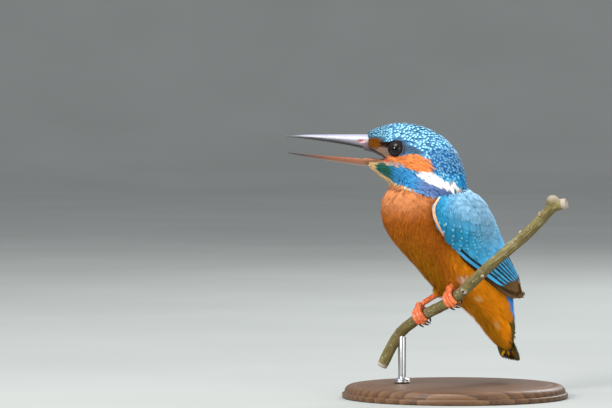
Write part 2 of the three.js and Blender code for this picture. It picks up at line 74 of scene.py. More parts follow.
PALETTE = {
    "crown": (70, 124, 166),
    "spot": (160, 228, 250),
    "forehead": (62, 106, 132),
    "nape": (14, 122, 176),
    "nape_band": (26, 92, 148),
    "back": (34, 158, 222),
    "malar_front": (24, 92, 76),
    "malar": (44, 134, 190),
    "malar_rear": (88, 112, 160),
    "ear": (224, 132, 72),
    "lore": (118, 66, 10),
    "lore_dark": (34, 20, 12),
    "lid": (38, 36, 40),
    "face": (98, 76, 66),
    "behind_eye": (74, 84, 100),
    "gape": (214, 176, 148),
    "white": (252, 248, 242),
    "throat": (240, 208, 150),
    # the top of the breast: a pinker tinge of its own, made paler by a painted highlight
    "breast_top_tint_and_highlight": (222, 150, 104),
    "breast": (162, 86, 22),
    "belly": (162, 102, 12),
    # the undertail's orange, brighter than the breast: partly its own paler tone, partly painted light on an
    # underside that faces away from the lamps
    "vent": (255, 158, 24),
    "vent_low": (220, 156, 34),
    "thigh": (240, 200, 172),
    "cream": (248, 206, 136),
    "wing": (24, 144, 190),
    # the wing's pale grey-blue: partly its own paler tone, partly a painted sheen of the light from above
    "wing_pale_and_sheen": (150, 198, 228),
    "wing_edge": (240, 196, 160),
    "web": (80, 192, 248),
    "web_dark": (24, 22, 26),
    "wing_tip": (122, 90, 48),
    "rump": (52, 156, 242),
    "tail": (60, 122, 184),
    "tail_under": (104, 94, 46),
    "mouth": (206, 92, 66),
}

# ---------------------------------------------------------------- small tools


def linear(colour):
    """A colour of the palette as the linear red, green and blue that shaders use."""
    share = np.array(colour, float) / 255
    return np.where(share <= 0.04045, share / 12.92, ((share + 0.055) / 1.055) ** 2.4)


def unit(vectors):
    return vectors / np.maximum(np.linalg.norm(vectors, axis=-1, keepdims=True), 1e-9)


def ease(value, low, high):
    """0 below low, 1 above high, and smooth between them; low may be the larger."""
    share = np.clip((value - low) / (high - low), 0, 1)
    return share * share * (3 - 2 * share)


def within(node, x, y, z):
    """A place in the box of a CAD node, as shares of its three sides, in millimetres."""
    low, high = (np.array(corner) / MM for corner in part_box(node))
    return low + (high - low) * np.array([x, y, z])


def smooth_line(points, count):
    """A smooth line through a few points, at evenly numbered places."""
    points = np.array(points, float)
    held = np.vstack([points[:1], points, points[-1:]])
    t = np.linspace(0, len(points) - 1, count)
    i = np.minimum(t.astype(int), len(points) - 2)
    f = (t - i)[:, None]
    a, b, c, d = (held[i + k] for k in range(4))
    return 0.5 * (2 * b + (c - a) * f + (2 * a - 5 * b + 4 * c - d) * f**2 + (3 * b - a - 3 * c + d) * f**3)


def attribute(mesh, name, kind, values):
    field = {"FLOAT": "value", "FLOAT_COLOR": "color"}[kind]
    made = mesh.attributes.new(name, kind, "POINT")
    made.data.foreach_set(field, np.ascontiguousarray(values, np.float32).ravel())


def mesh_of(name, points, faces):
    """A mesh from points in millimetres and faces with one number of corners, shaded smooth."""
    mesh = bpy.data.meshes.new(name)
    faces = np.asarray(faces, np.int32)
    corners = faces.shape[1]
    mesh.vertices.add(len(points))
    mesh.vertices.foreach_set("co", (np.asarray(points) * MM).astype(np.float32).ravel())
    mesh.loops.add(faces.size)
    mesh.loops.foreach_set("vertex_index", faces.ravel())
    mesh.polygons.add(len(faces))
    mesh.polygons.foreach_set("loop_start", np.arange(0, faces.size, corners, dtype=np.int32))
    mesh.polygons.foreach_set("use_smooth", np.ones(len(faces), bool))
    mesh.update(calc_edges=True)
    return mesh


def piece(name, mesh, material, slot, *nodes):
    """An object of the bird or its stand, which rides on the frame and stands for some CAD nodes."""
    made = bpy.data.objects.new(name, mesh)
    bpy.context.scene.collection.objects.link(made)
    mesh.materials.append(material)
    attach(made, "root")
    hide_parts(*nodes)
    return made


def points_of(mesh, field="co"):
    found = np.empty(len(mesh.vertices) * 3, np.float32)
    mesh.vertices.foreach_get(field, found)
    return found.reshape(-1, 3).astype(float) / (MM if field == "co" else 1)


def faces_of(mesh, corners=4):
    found = np.empty(len(mesh.loops), np.int32)
    mesh.loops.foreach_get("vertex_index", found)
    return found.reshape(-1, corners)


def tree_of(points):
    """A tree that finds the nearest of some points."""
    tree = kdtree.KDTree(len(points))
    for i, place in enumerate(points):
        tree.insert(place, i)
    tree.balance()
    return tree


def remeshed(nodes, voxel, swell=0.0):
    """The union of CAD nodes, swollen a little so that the gaps between them close, as fine even quads."""
    joined = bmesh.new()
    for node in nodes:
        joined.from_mesh(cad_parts[node].data)
    bmesh.ops.remove_doubles(joined, verts=joined.verts, dist=0.002 * MM)
    joined.normal_update()
    for vertex in joined.verts:
        vertex.co += vertex.normal * swell * MM
    rough = bpy.data.meshes.new("rough")
    joined.to_mesh(rough)
    joined.free()
    holder = bpy.data.objects.new("rough", rough)
    bpy.context.scene.collection.objects.link(holder)
    remesh = holder.modifiers.new("Remesh", "REMESH")
    remesh.mode = "VOXEL"
    remesh.voxel_size = voxel * MM
    result = holder.evaluated_get(bpy.context.evaluated_depsgraph_get()).to_mesh()
    points, faces = points_of(result), faces_of(result)
    bpy.data.objects.remove(holder)
    return points, faces


def relaxed(points, faces, rounds, amount=0.5):
    """Points drawn towards the middle of their neighbours, which takes the steps out of a remesh."""
    a = faces.ravel()
    b = np.roll(faces, -1, axis=1).ravel()
    count = np.maximum(np.bincount(a, minlength=len(points)) + np.bincount(b, minlength=len(points)), 1)
    for _ in range(rounds):
        pull = np.empty_like(points)
        for axis in range(3):
            column = points[:, axis]
            pull[:, axis] = np.bincount(a, column[b], len(points)) + np.bincount(b, column[a], len(points))
        points = points + amount * (pull / count[:, None] - points)
    return points


def circle(across, rise, sides):
    """Points of a ring of unit radius, in the plane of two directions."""
    angles = np.linspace(0, 2 * math.pi, sides, endpoint=False)[:, None]
    return across * np.cos(angles) + rise * np.sin(angles)


def hoops(rings):
    """The points of closed rings in one list, with quads from each ring to the next."""
    rings = np.array(rings)
    count, sides = rings.shape[:2]
    i = np.arange(count - 1)[:, None] * sides
    j = np.arange(sides)[None]
    after = (j + 1) % sides
    faces = np.stack([i + j, i + after, i + sides + after, i + sides + j], -1).reshape(-1, 4)
    return rings.reshape(-1, 3), faces


def swept(rings):
    """Closed rings of points joined by quads, with a fan of quads drawn in to a point at both ends."""
    rings = np.array(rings)
    ends = [end.mean(1, keepdims=True) + 0 * end for end in (rings[:1], rings[-1:])]
    return hoops(np.concatenate([ends[0], rings, ends[1]]))


def welded(mesh):
    """The mesh with points that coincide merged, which closes the caps, and its faces turned outwards."""
    work = bmesh.new()
    work.from_mesh(mesh)
    bmesh.ops.remove_doubles(work, verts=work.verts, dist=0.001 * MM)
    bmesh.ops.recalc_face_normals(work, faces=work.faces)
    work.to_mesh(mesh)
    work.free()
    return mesh


def turned(profile, centre, sides):
    """A turned shape round an upright axis: profile holds (radius, height) from the foot to the top."""
    rings = [centre + circle(*LEVEL, sides) * radius + np.array([0, 0, height]) for radius, height in profile]
    return welded(mesh_of("turned", *swept(rings)))


# ---------------------------------------------------------------- materials


class Value:
    """A value in a material's node tree; arithmetic on it adds the nodes."""

    def __init__(self, finish, socket):
        self.finish, self.socket = finish, socket

    def maths(self, operation, *values):
        return self.finish.node("ShaderNodeMath", {"operation": operation}, dict(enumerate(values)))

    def __add__(self, other):
        return self.maths("ADD", self, other)

    def __sub__(self, other):
        return self.maths("SUBTRACT", self, other)

    def __rsub__(self, other):
        return self.maths("SUBTRACT", other, self)

    def __mul__(self, other):
        return self.maths("MULTIPLY", self, other)

    def __truediv__(self, other):
        return self.maths("DIVIDE", self, other)

    def __pow__(self, other):
        return self.maths("POWER", self, other)

    def __abs__(self):
        return self.maths("ABSOLUTE", self)

    __radd__, __rmul__ = __add__, __mul__

    def sine(self):
        return self.maths("SINE", self)

    def ease(self, low, high):
        """0 below low, 1 above high, smooth between."""
        ends = {"Value": self, "From Min": low, "From Max": high}
        return self.finish.node("ShaderNodeMapRange", {"interpolation_type": "SMOOTHSTEP"}, ends)

    def tinted(self, other, share):
        """This colour with another mixed in."""
        return self.finish.node("ShaderNodeMix", {"data_type": "RGBA"}, {0: share, 6: self, 7: other}, 2)

    def scaled(self, amount):
        """This colour or vector times a number."""
        inputs = {0: self, "Scale": amount}
        return self.finish.node("ShaderNodeVectorMath", {"operation": "SCALE"}, inputs)

    def parts(self):
        made = self.finish.node("ShaderNodeSeparateXYZ", {}, {0: self}).socket.node
        return [Value(self.finish, output) for output in made.outputs]


class Finish:
    """A material: constants go on its shader's own sockets, and nodes feed what varies."""

    def __init__(self, name, **constants):
        self.material = bpy.data.materials.new(name)
        self.material.use_nodes = True
        self.tree = self.material.node_tree
        self.shader = self.tree.nodes["Principled BSDF"]
        for words, value in constants.items():
            self.shader.inputs[words.replace("_", " ")].default_value = value

    def node(self, kind, settings=None, inputs=None, output=0):
        made = self.tree.nodes.new(kind)
        for name, value in (settings or {}).items():
            if name == "stops":
                ramp = made.color_ramp.elements
                while len(ramp) < len(value):
                    ramp.new(0.5)
                for stop, (place, colour) in zip(ramp, value):
                    stop.position, stop.color = place, colour
            else:
                setattr(made, name, value)
        for key, value in (inputs or {}).items():
            if isinstance(value, Value):
                self.tree.links.new(value.socket, made.inputs[key])
            else:
                made.inputs[key].default_value = value
        return Value(self, made.outputs[output])

    def place(self):
        """The place on the object itself, in metres."""
        return self.node("ShaderNodeTexCoord", {}, {}, "Object")

    def stretched(self, scale):
        """The place with its axes scaled, for patterns that run one way."""
        return self.node("ShaderNodeMapping", {}, {"Vector": self.place(), "Scale": scale})

    def noise(self, scale, detail=3.0, rough=0.55, where=None):
        inputs = {"Vector": where or self.place(), "Scale": scale, "Detail": detail, "Roughness": rough}
        return self.node("ShaderNodeTexNoise", {}, inputs)

    def stored(self, name, output="Color"):
        return self.node("ShaderNodeAttribute", {"attribute_name": name}, {}, output)

    def ramp(self, value, stops):
        return self.node("ShaderNodeValToRGB", {"stops": stops}, {0: value})

    def feeds(self, **sockets):
        for words, value in sockets.items():
            self.tree.links.new(value.socket, self.shader.inputs[words.replace("_", " ")])

    def bumped(self, height, strength, depth):
        """Feeds the normal with a bump that is depth millimetres high where height is 1."""
        inputs = {"Height": height, "Strength": strength, "Distance": depth * MM}
        self.feeds(Normal=self.node("ShaderNodeBump", {}, inputs))


def coat_finish(name, gloss):
    """Feathers: each vane's own marking, darker at the root, with a pale spot at the tip of some.

    Lie holds the place along and across the vane, a number that differs from barb to barb,
    and half the breadth of the spot as a share of the vane's.
    """
    finish = Finish(name, Specular_IOR_Level=gloss)
    marking = finish.stored("Marking")
    spotted = finish.stored("Marking", "Alpha")
    along, across, pick = finish.stored("Lie").parts()
    breadth = finish.stored("Lie", "Alpha")
    shade = marking.scaled(along.ease(0.0, 0.5) * 0.18 + 0.84 + (pick - 0.5) * 0.28)
    shade = shade.scaled(finish.noise(260.0, 3.0, 0.6) * 0.4 + 0.8)
    shaft = (1 - abs(across).ease(0.02, 0.08)) * along.ease(0.1, 0.3) * 0.1
    shade = shade.scaled(1 - shaft)
    length = breadth.ease(0.0, 0.8) * 0.14 + 0.065
    reach = ((along + length - 0.98) / length) ** 2.0 + (across / breadth) ** 2.0
    spot = (1 - reach.ease(0.55, 1.15)) * spotted
    colour = shade.tinted((*linear(PALETTE["spot"]), 1.0), spot)
    red, _, blue = marking.parts()
    finish.feeds(Base_Color=colour, Roughness=0.75 - (blue - red).ease(0.0, 0.4) * 0.25)
    return finish.material


def skin_finish():
    """The skin under the coat: the same markings, darker with painted shade as if in the shadow of the
    feathers, and finely grained.
    """
    finish = Finish("plumage_skin", Specular_IOR_Level=0.15, Roughness=0.8)
    marking = finish.stored("Marking")
    grain = finish.noise(1400.0, 4.0, 0.6)
    # painted shade: the markings at about four fifths of their brightness, with fine grain
    finish.feeds(Base_Color=marking.scaled(grain * 0.4 + 0.6))
    finish.bumped(grain, 0.5, 0.3)
    return finish.material


def foot_finish():
    """Toes and shanks: coral red skin in small plates, with pale pinkish patches at random that are painted
    highlights.
    """
    finish = Finish("foot_skin", Subsurface_Weight=0.12, Subsurface_Scale=0.002, Specular_IOR_Level=0.5,
                    Coat_Weight=0.35, Coat_Roughness=0.2)
    plates = (finish.stored("Scute", "Fac") * 6.2832).sine()
    crease = 1 - (plates + 1).ease(0.0, 0.3)
    blotch = finish.noise(420.0, 3.0)
    base = finish.ramp(blotch, [(0.35, (0.68, 0.1, 0.02, 1)), (0.62, (0.9, 0.22, 0.05, 1))])
    # painted highlights: pale pinkish patches scattered at random over the skin
    pale = finish.noise(900.0, 2.0).ease(0.56, 0.7) * 0.4
    colour = base.tinted((0.95, 0.5, 0.36, 1), pale).tinted((0.3, 0.05, 0.03, 1), crease * 0.35)
    finish.feeds(Base_Color=colour, Roughness=0.36 + blotch * 0.25)
    finish.bumped(plates.ease(-0.9, 0.0) + finish.noise(2600.0) * 0.3, 0.5, 0.16)
    return finish.material


def claw_finish():
    finish = Finish("claw_horn", Coat_Weight=0.3, Specular_IOR_Level=0.55)
    grain = finish.noise(1500.0, 3.0)
    colour = finish.ramp(grain, [(0.3, (0.018, 0.012, 0.01, 1)), (0.75, (0.1, 0.06, 0.045, 1))])
    finish.feeds(Base_Color=colour, Roughness=0.25 + grain * 0.2)
    return finish.material


def bill_finish(name, ends):
    """Horn that changes colour from the tip of the bill to its base, as ends says.

    Warm marks the mouth's lining and the nostrils, Pale lays a painted highlight along the ridge, and the
    edge attribute a painted shadow along the cutting edge.
    """
    finish = Finish(name, Coat_Weight=0.45, Coat_Roughness=0.18, Specular_IOR_Level=0.6)
    share = finish.stored("FromTip", "Fac")
    mottled = share + (finish.noise(260.0, 4.0) - 0.5) * 0.12
    grain = finish.noise(1.0, 3.0, 0.6, finish.stretched((160.0, 1800.0, 1800.0)))
    colour = finish.ramp(mottled, ends)
    warm = finish.stored("Warm", "Fac")
    # painted highlight: pale lavender along the ridge of the black horn, where light from above would glint
    colour = colour.tinted((0.46, 0.44, 0.57, 1), finish.stored("Pale", "Fac") * 0.85)
    colour = colour.tinted((0.55, 0.1, 0.06, 1), warm).scaled(grain * 0.5 + 0.75)
    # painted shadow: near black along the upper half's cutting edge, where the jaws meet
    colour = colour.tinted((0.012, 0.01, 0.012, 1), finish.stored("Edge", "Fac"))
    finish.feeds(Base_Color=colour, Roughness=0.24 + grain * 0.16)
    finish.bumped(grain, 0.35, 0.1)
    return finish.material


def eye_finish():
    """A dark brown iris round a black pupil, with a wet gloss."""
    finish = Finish("eye_wet", Coat_Weight=0.3, Coat_Roughness=0.03, Specular_IOR_Level=0.15, Roughness=0.1)
    rays = finish.noise(2600.0, 2.0) * 0.4
    iris = finish.ramp(finish.stored("FromPupil", "Fac") + rays * 0.1, [
        (0.0, (0.001, 0.001, 0.001, 1)), (0.52, (0.001, 0.001, 0.001, 1)),
        (0.58, (0.014, 0.007, 0.004, 1)), (0.92, (0.024, 0.012, 0.006, 1)), (1.0, (0.004, 0.003, 0.003, 1)),
    ])
    finish.feeds(Base_Color=iris)
    return finish.material


def bark_finish():
    """A young twig: olive bark with fine lengthways lines, pale breathing pores and grey weathering.

    Wood holds the place along and beside the twig's middle, and where it is sawn.
    """
    finish = Finish("twig_bark", Specular_IOR_Level=0.3)
    length, side, rise = finish.stored("Wood").parts()
    where = finish.node("ShaderNodeCombineXYZ", {}, {0: length * 0.06, 1: side * 0.7, 2: rise * 0.7})
    lines = finish.noise(3.0, 5.0, 0.65, where)
    patches = finish.noise(90.0, 4.0, 0.6)
    spots = {"Vector": finish.stretched((420.0, 420.0, 420.0)), "Scale": 1.0}
    pore = 1 - finish.node("ShaderNodeTexVoronoi", {}, spots).ease(0.1, 0.26)
    colour = finish.ramp(lines * 0.6 + patches * 0.4, [
        (0.34, (0.07, 0.052, 0.02, 1)), (0.5, (0.17, 0.135, 0.046, 1)), (0.66, (0.34, 0.29, 0.12, 1)),
    ])
    colour = colour.tinted((0.46, 0.42, 0.32, 1), pore * 0.5)
    colour = colour.tinted((0.4, 0.37, 0.3, 1), patches.ease(0.54, 0.74) * 0.45)
    colour = colour.tinted((0.62, 0.52, 0.46, 1), finish.stored("Pale", "Fac") * 0.8)
    colour = colour.tinted((0.44, 0.37, 0.3, 1), finish.stored("Wood", "Alpha"))
    colour = colour.tinted((0.03, 0.022, 0.018, 1), finish.stored("Pith", "Fac"))
    finish.feeds(Base_Color=colour, Roughness=0.7 + lines * 0.15)
    finish.bumped(lines + pore * 0.4, 0.8, 0.35)
    return finish.material


def bud_finish():
    finish = Finish("twig_bud", Roughness=0.6, Subsurface_Weight=0.1, Subsurface_Scale=0.002)
    tone = finish.noise(420.0, 4.0)
    finish.feeds(Base_Color=finish.ramp(tone, [(0.3, (0.2, 0.12, 0.06, 1)), (0.65, (0.5, 0.37, 0.24, 1))]))
    finish.bumped(tone, 0.5, 0.3)
    return finish.material


def wood_finish():
    """Turned walnut under satin varnish, with rings that run across the disc."""
    finish = Finish("base_walnut", Coat_Weight=0.15, Coat_Roughness=0.3, Specular_IOR_Level=0.35)
    bend = finish.noise(9.0, 2.0).scaled(0.012)
    across = finish.node("ShaderNodeVectorMath", {"operation": "ADD"}, {0: finish.place(), 1: bend})
    rings = finish.node("ShaderNodeTexWave", {"bands_direction": "Y", "wave_profile": "SAW"}, {
        "Vector": across, "Scale": 75.0, "Distortion": 1.6, "Detail": 3.0, "Detail Scale": 0.8,
    })
    fibres = finish.noise(1.0, 4.0, 0.7, finish.stretched((70.0, 1500.0, 700.0)))
    colour = finish.ramp(rings * 0.35 + fibres * 0.65, [
        (0.2, (0.045, 0.02, 0.01, 1)), (0.5, (0.13, 0.062, 0.028, 1)), (0.85, (0.24, 0.125, 0.058, 1)),
    ])
    finish.feeds(Base_Color=colour, Roughness=0.42 + fibres * 0.2)
    finish.bumped(fibres, 0.35, 0.12)
    return finish.material


def steel_finish():
    finish = Finish("rod_steel", Metallic=1.0, Specular_IOR_Level=0.5)
    brushed = finish.noise(1.0, 3.0, 0.6, finish.stretched((400.0, 400.0, 6000.0)))
    finish.feeds(Base_Color=finish.ramp(brushed, [(0.2, (0.5, 0.5, 0.51, 1)), (0.8, (0.68, 0.69, 0.71, 1))]))
    finish.feeds(Roughness=0.22 + brushed * 0.2)
    finish.bumped(brushed, 0.15, 0.05)
    return finish.material


# ---------------------------------------------------------------- camera, lights and floor


def camera():
    """Looks at the bird's left side from a little above it."""
    aim = Vector((within("bill_upper", 0, 0, 0)[0] + VIEW["past_bill"], 0, within("head", 0, 0, 1)[2]))
    aim.z -= VIEW["under_crown"]
    back = Vector((0, -math.cos(VIEW["elevation"]), math.sin(VIEW["elevation"])))
    lens = bpy.data.cameras.new("camera")
    lens.sensor_width = 36
    lens.lens = lens.sensor_width * VIEW["distance"] / VIEW["width"]
    lens.clip_end = 30
    held = bpy.data.objects.new("camera", lens)
    held.location = (aim + back * VIEW["distance"]) * MM
    held.rotation_euler = (-back).to_track_quat("-Z", "Y").to_euler()
    bpy.context.scene.collection.objects.link(held)
    bpy.context.scene.camera = held


def soft_light(name, place, aim, size, power, colour):
    lamp = bpy.data.lights.new(name, "AREA")
    lamp.shape, lamp.size, lamp.energy, lamp.color = "DISK", size, power, colour
    held = bpy.data.objects.new(name, lamp)
    held.location = place
    held.rotation_euler = (Vector(aim) - Vector(place)).to_track_quat("-Z", "Y").to_euler()
    bpy.context.scene.collection.objects.link(held)


def studio():
    """A round paper sweep under a broad overhead light, with a key, a weaker fill and a rim light."""
    aim = (-0.01, 0, 0.08)
    soft_light("overhead", (-0.25, -0.35, 1.25), aim, 0.9, 15, (0.94, 0.97, 1.0))
    soft_light("key", (-0.75, -1.0, 0.62), aim, 0.35, 13, (1.0, 0.98, 0.95))
    soft_light("fill", (1.0, -0.9, 0.35), aim, 0.8, 4.5, (1.0, 0.97, 0.93))
    soft_light("rim", (0.55, 0.95, 0.75), aim, 0.5, 8, (0.93, 0.97, 1.0))
    world = bpy.data.worlds.new("studio")
    world.use_nodes = True
    sky = world.node_tree.nodes["Background"]
    sky.inputs["Color"].default_value = (0.86, 0.9, 0.95, 1)
    sky.inputs["Strength"].default_value = 0.55
    bpy.context.scene.world = world
    bpy.context.scene.view_settings.view_transform = "Standard"
    flat, bend = 3.0, 1.3  # metres: the radius of the level paper, and of its rise round the edge
    profile = [(0.02, 0.0), (0.6, 0.0), (flat, 0.0)]
    profile += [(flat + bend * math.sin(a), bend - bend * math.cos(a)) for a in np.linspace(0.1, 1.5, 14)]
    sides = 64
    rings = [(circle(*LEVEL, sides) * out + np.array([0, 0, up])) / MM for out, up in profile]
    points, faces = swept(rings)
    sweep = bpy.data.objects.new("sweep", mesh_of("sweep", points, faces[:-sides]))
    bpy.context.scene.collection.objects.link(sweep)
    finish = Finish("sweep_paper", Roughness=0.9, Specular_IOR_Level=0.1)
    paper = [(0.3, (0.40, 0.41, 0.39, 1)), (0.7, (0.43, 0.44, 0.42, 1))]
    finish.feeds(Base_Color=finish.ramp(finish.noise(6.0, 2.0), paper))
    sweep.data.materials.append(finish.material)


# ---------------------------------------------------------------- the lie of the body


class Spine:
    """The line from the bill to the tip of the tail, which the plumage follows."""

    blend = 30.0  # square millimetres over which neighbouring headings mix

    def __init__(self, points):
        self.points = smooth_line(points, 70)
        self.headings = unit(np.gradient(self.points, axis=0))
        self.shares = np.linspace(0, 1, len(self.points))
        turn = ease(self.shares, 0.18, 0.45)[:, None] * BODY_TURN
        self.lefts = np.hstack([np.sin(turn), -np.cos(turn), 0 * turn])

    def at(self, places):
        """For each place: its share along the spine, heading, and angle from the back round the left side."""
        away = ((places[:, None] - self.points[None]) ** 2).sum(2)
        weight = np.exp(-(away - away.min(1, keepdims=True)) / self.blend)
        weight /= weight.sum(1, keepdims=True)
        heading = unit(weight @ self.headings)
        left = weight @ self.lefts
        left = unit(left - heading * (left * heading).sum(1, keepdims=True))
        out = places - weight @ self.points
        angle = np.arctan2((out * left).sum(1), (out * np.cross(left, heading)).sum(1))
        return weight @ self.shares, heading, angle

    def cross_section(self, share):
        """The spine's middle at one share of its length, and the left and back directions there."""
        middle, heading, left = (
            np.array([np.interp(share, self.shares, column) for column in table.T])
            for table in (self.points, self.headings, self.lefts)
        )
        heading = unit(heading)
        left = unit(left - heading * (left @ heading))
        return middle, left, np.cross(left, heading)


spine = Spine([
    within("bill_upper", 1, 0.5, 0), within("head", 0.45, 0.5, 0.5), within("neck", 0.62, 0.5, 0.2),
    within("trunk", 0.48, 0.5, 0.56), within("rump", 0.62, 0.6, 0.5), within("tail", 0.87, 0.5, 0),
])
eye_place = {side: within(f"eye_{side}", 0.5, 0.5, 0.5) for side in SIDES}
eye_size = (within("eye_left", 1, 1, 1) - within("eye_left", 0, 0, 0))[2] / 2


class Bed:
    """A surface that feathers root on and lie along."""

    def __init__(self, points, faces):
        self.points, self.faces = points, faces
        mesh = mesh_of("bed", points, faces)
        self.normals = points_of(mesh, "normal")
        bpy.data.meshes.remove(mesh)
        self.tree = BVHTree.FromPolygons(points.tolist(), faces.tolist())

    def settle(self, places):
        """The nearest places on the bed, and its smooth normals there."""
        landed, normals = np.empty_like(places), np.empty_like(places)
        for i, place in enumerate(places.tolist()):
            spot, _, face, _ = self.tree.find_nearest(place)
            landed[i] = spot
            normals[i] = self.normals[self.faces[face]].mean(0)
        return landed, unit(normals)

    def lay(self, roots, lengths, stations, swing):
        """Lines that start at the roots and run along the body, keeping to the bed but not round its end."""
        here, normal = self.settle(roots)
        lines, normals = [here], [normal]
        step = (lengths / (stations - 1))[:, None]
        for _ in range(stations - 1):
            share, heading, _ = spine.at(here)
            # where the bed faces along the spine, as on the bosom, the lie turns down
            blunt = np.abs((heading * normal).sum(1))
            droop = (ease(blunt, 0.55, 0.9) * ease(share, 0.06, 0.12) * ease(share, 0.6, 0.5))[:, None]
            heading = heading * (1 - droop) + np.array([0, 0, -1]) * droop
            heading = heading + np.cross(normal, heading) * swing[:, None]
            flow = unit(heading - normal * (heading * normal).sum(1, keepdims=True))
            ahead = here + flow * step
            landed, turned_to = self.settle(ahead)
            # past the end of the bed a line leaves it, and runs on straight
            round_the_end = ease(((landed - here) * flow).sum(1) / step[:, 0], 0.75, 0.45)
            round_the_end = np.maximum(round_the_end, ease((turned_to * normal).sum(1), 0.9, 0.7))
            falls_away = ((ahead - landed) * turned_to).sum(1) > 0
            free = (round_the_end * falls_away * ease(share, 0.78, 0.84))[:, None]
            here = landed * (1 - free) + ahead * free
            normal = unit(turned_to * (1 - free) + normal * free)
            lines.append(here)
            normals.append(normal)
        return np.stack(lines, 1), np.stack(normals, 1)


# ---------------------------------------------------------------- markings

# outlines on the side of the head: millimetres behind and above the eye
EAR = [(-4.2, -3.0), (-0.2, -3.2), (4.4, -2.6), (9.0, -2.6), (13.2, -4.0), (15.9, -6.8), (17.7, -10.2),
       (14.4, -11.0), (10.4, -11.0), (7.0, -9.4), (3.4, -7.6), (-0.2, -6.0), (-4.2, -4.8)]
WHITE = [(10.4, -11.4), (15.0, -10.4), (18.6, -12.2), (22.8, -15.0), (27.4, -18.0), (34.4, -21.6),
         (27.4, -20.8), (20.5, -18.2), (13.6, -15.2)]
MALAR = [(-8.0, -6.2), (-1.6, -6.8), (2.1, -8.4), (6.7, -10.2), (10.4, -11.8), (13.6, -15.0),
         (20.5, -17.8), (27.4, -20.0), (23.0, -23.2), (16.8, -22.0), (10.4, -20.2), (4.4, -17.8),
         (-0.2, -15.8), (-4.0, -12.6), (-8.4, -9.6)]
BEHIND_EYE = [(2.2, 2.6), (7.0, 1.4), (12.0, -1.4), (9.0, -2.2), (4.4, -1.8)]
NAPE_BAND = [(13.6, -0.8), (20.5, 0.2), (32.4, -4.4), (32.4, -11.0), (25.0, -12.8), (17.7, -9.2),
             (15.0, -5.0)]
LORE = [(-14.4, 3.8), (-12.4, 5.0), (-8.6, 5.2), (-6.0, 4.0), (-6.2, 1.6), (-8.5, 0.3), (-11.5, 0.6),
        (-14.4, 1.4)]
LORE_DARK = [(-7.4, 3.4), (-2.6, 3.6), (-2.8, -0.4), (-4.5, 0.6), (-6.8, 1.2)]
BARE = [(-8.6, 0.4), (-6.2, 1.4), (-4.0, 0.6), (-3.2, -0.8), (-3.6, -3.2), (-6.2, -3.6), (-9.0, -1.6)]
GAPE = [(-9.0, -5.0), (-4.0, -5.2), (0.6, -6.4), (3.6, -8.4), (1.0, -8.3), (-3.0, -7.0), (-8.0, -6.2)]
MOUTH = [(-3.2, -5.6), (-8.6, -2.4), (-14.5, -0.4), (-14.5, -5.2)]

# the upper limit of the orange breast, from the bill's side to the back's
BREAST_LINE = [(-40, -17.0), (-5, -17.0), (0, -17.4), (5, -18.6), (10.4, -20.6), (16.8, -22.4),
               (30, -30), (60, -70)]

# tufts on the left flank: colour, place in the rump's box by length and height, and their
# length and height in millimetres
PALE_TUFTS = [("thigh", 0.05, 1.07, 4.4, 3.0), ("cream", 0.29, 0.82, 2.3, 1.5),
              ("cream", 0.63, 0.4, 1.3, 2.3)]


def inside(places, outline):
    """How far each flat place is inside an outline, in millimetres; negative outside it."""
    outline = np.array(outline, float)
    nearest = np.full(len(places), 1e9)
    crossings = np.zeros(len(places), int)
    for a, b in zip(outline, np.roll(outline, -1, axis=0)):
        edge = b - a
        share = np.clip(((places - a) @ edge) / (edge @ edge), 0, 1)
        nearest = np.minimum(nearest, np.linalg.norm(places - a - share[:, None] * edge, axis=1))
        spans = (a[1] > places[:, 1]) != (b[1] > places[:, 1])
        rise = edge[1] if abs(edge[1]) > 1e-9 else 1e-9
        crossings += spans & (places[:, 0] < a[0] + edge[0] * (places[:, 1] - a[1]) / rise)
    return np.where(crossings % 2 == 1, nearest, -nearest)


def head_place(places):
    """Places on the flat of the head's side: millimetres behind and above the eye."""
    return places[:, [0, 2]] - eye_place["left"][[0, 2]]


def breast_line(behind):
    """The height over the eye below which the plumage is orange."""
    return np.interp(behind, *np.array(BREAST_LINE).T)


def blue_edge(share):
    """How many degrees from the back the blue plumage reaches round each side."""
    return 44 + 28 * ease(share, 0.6, 0.74)


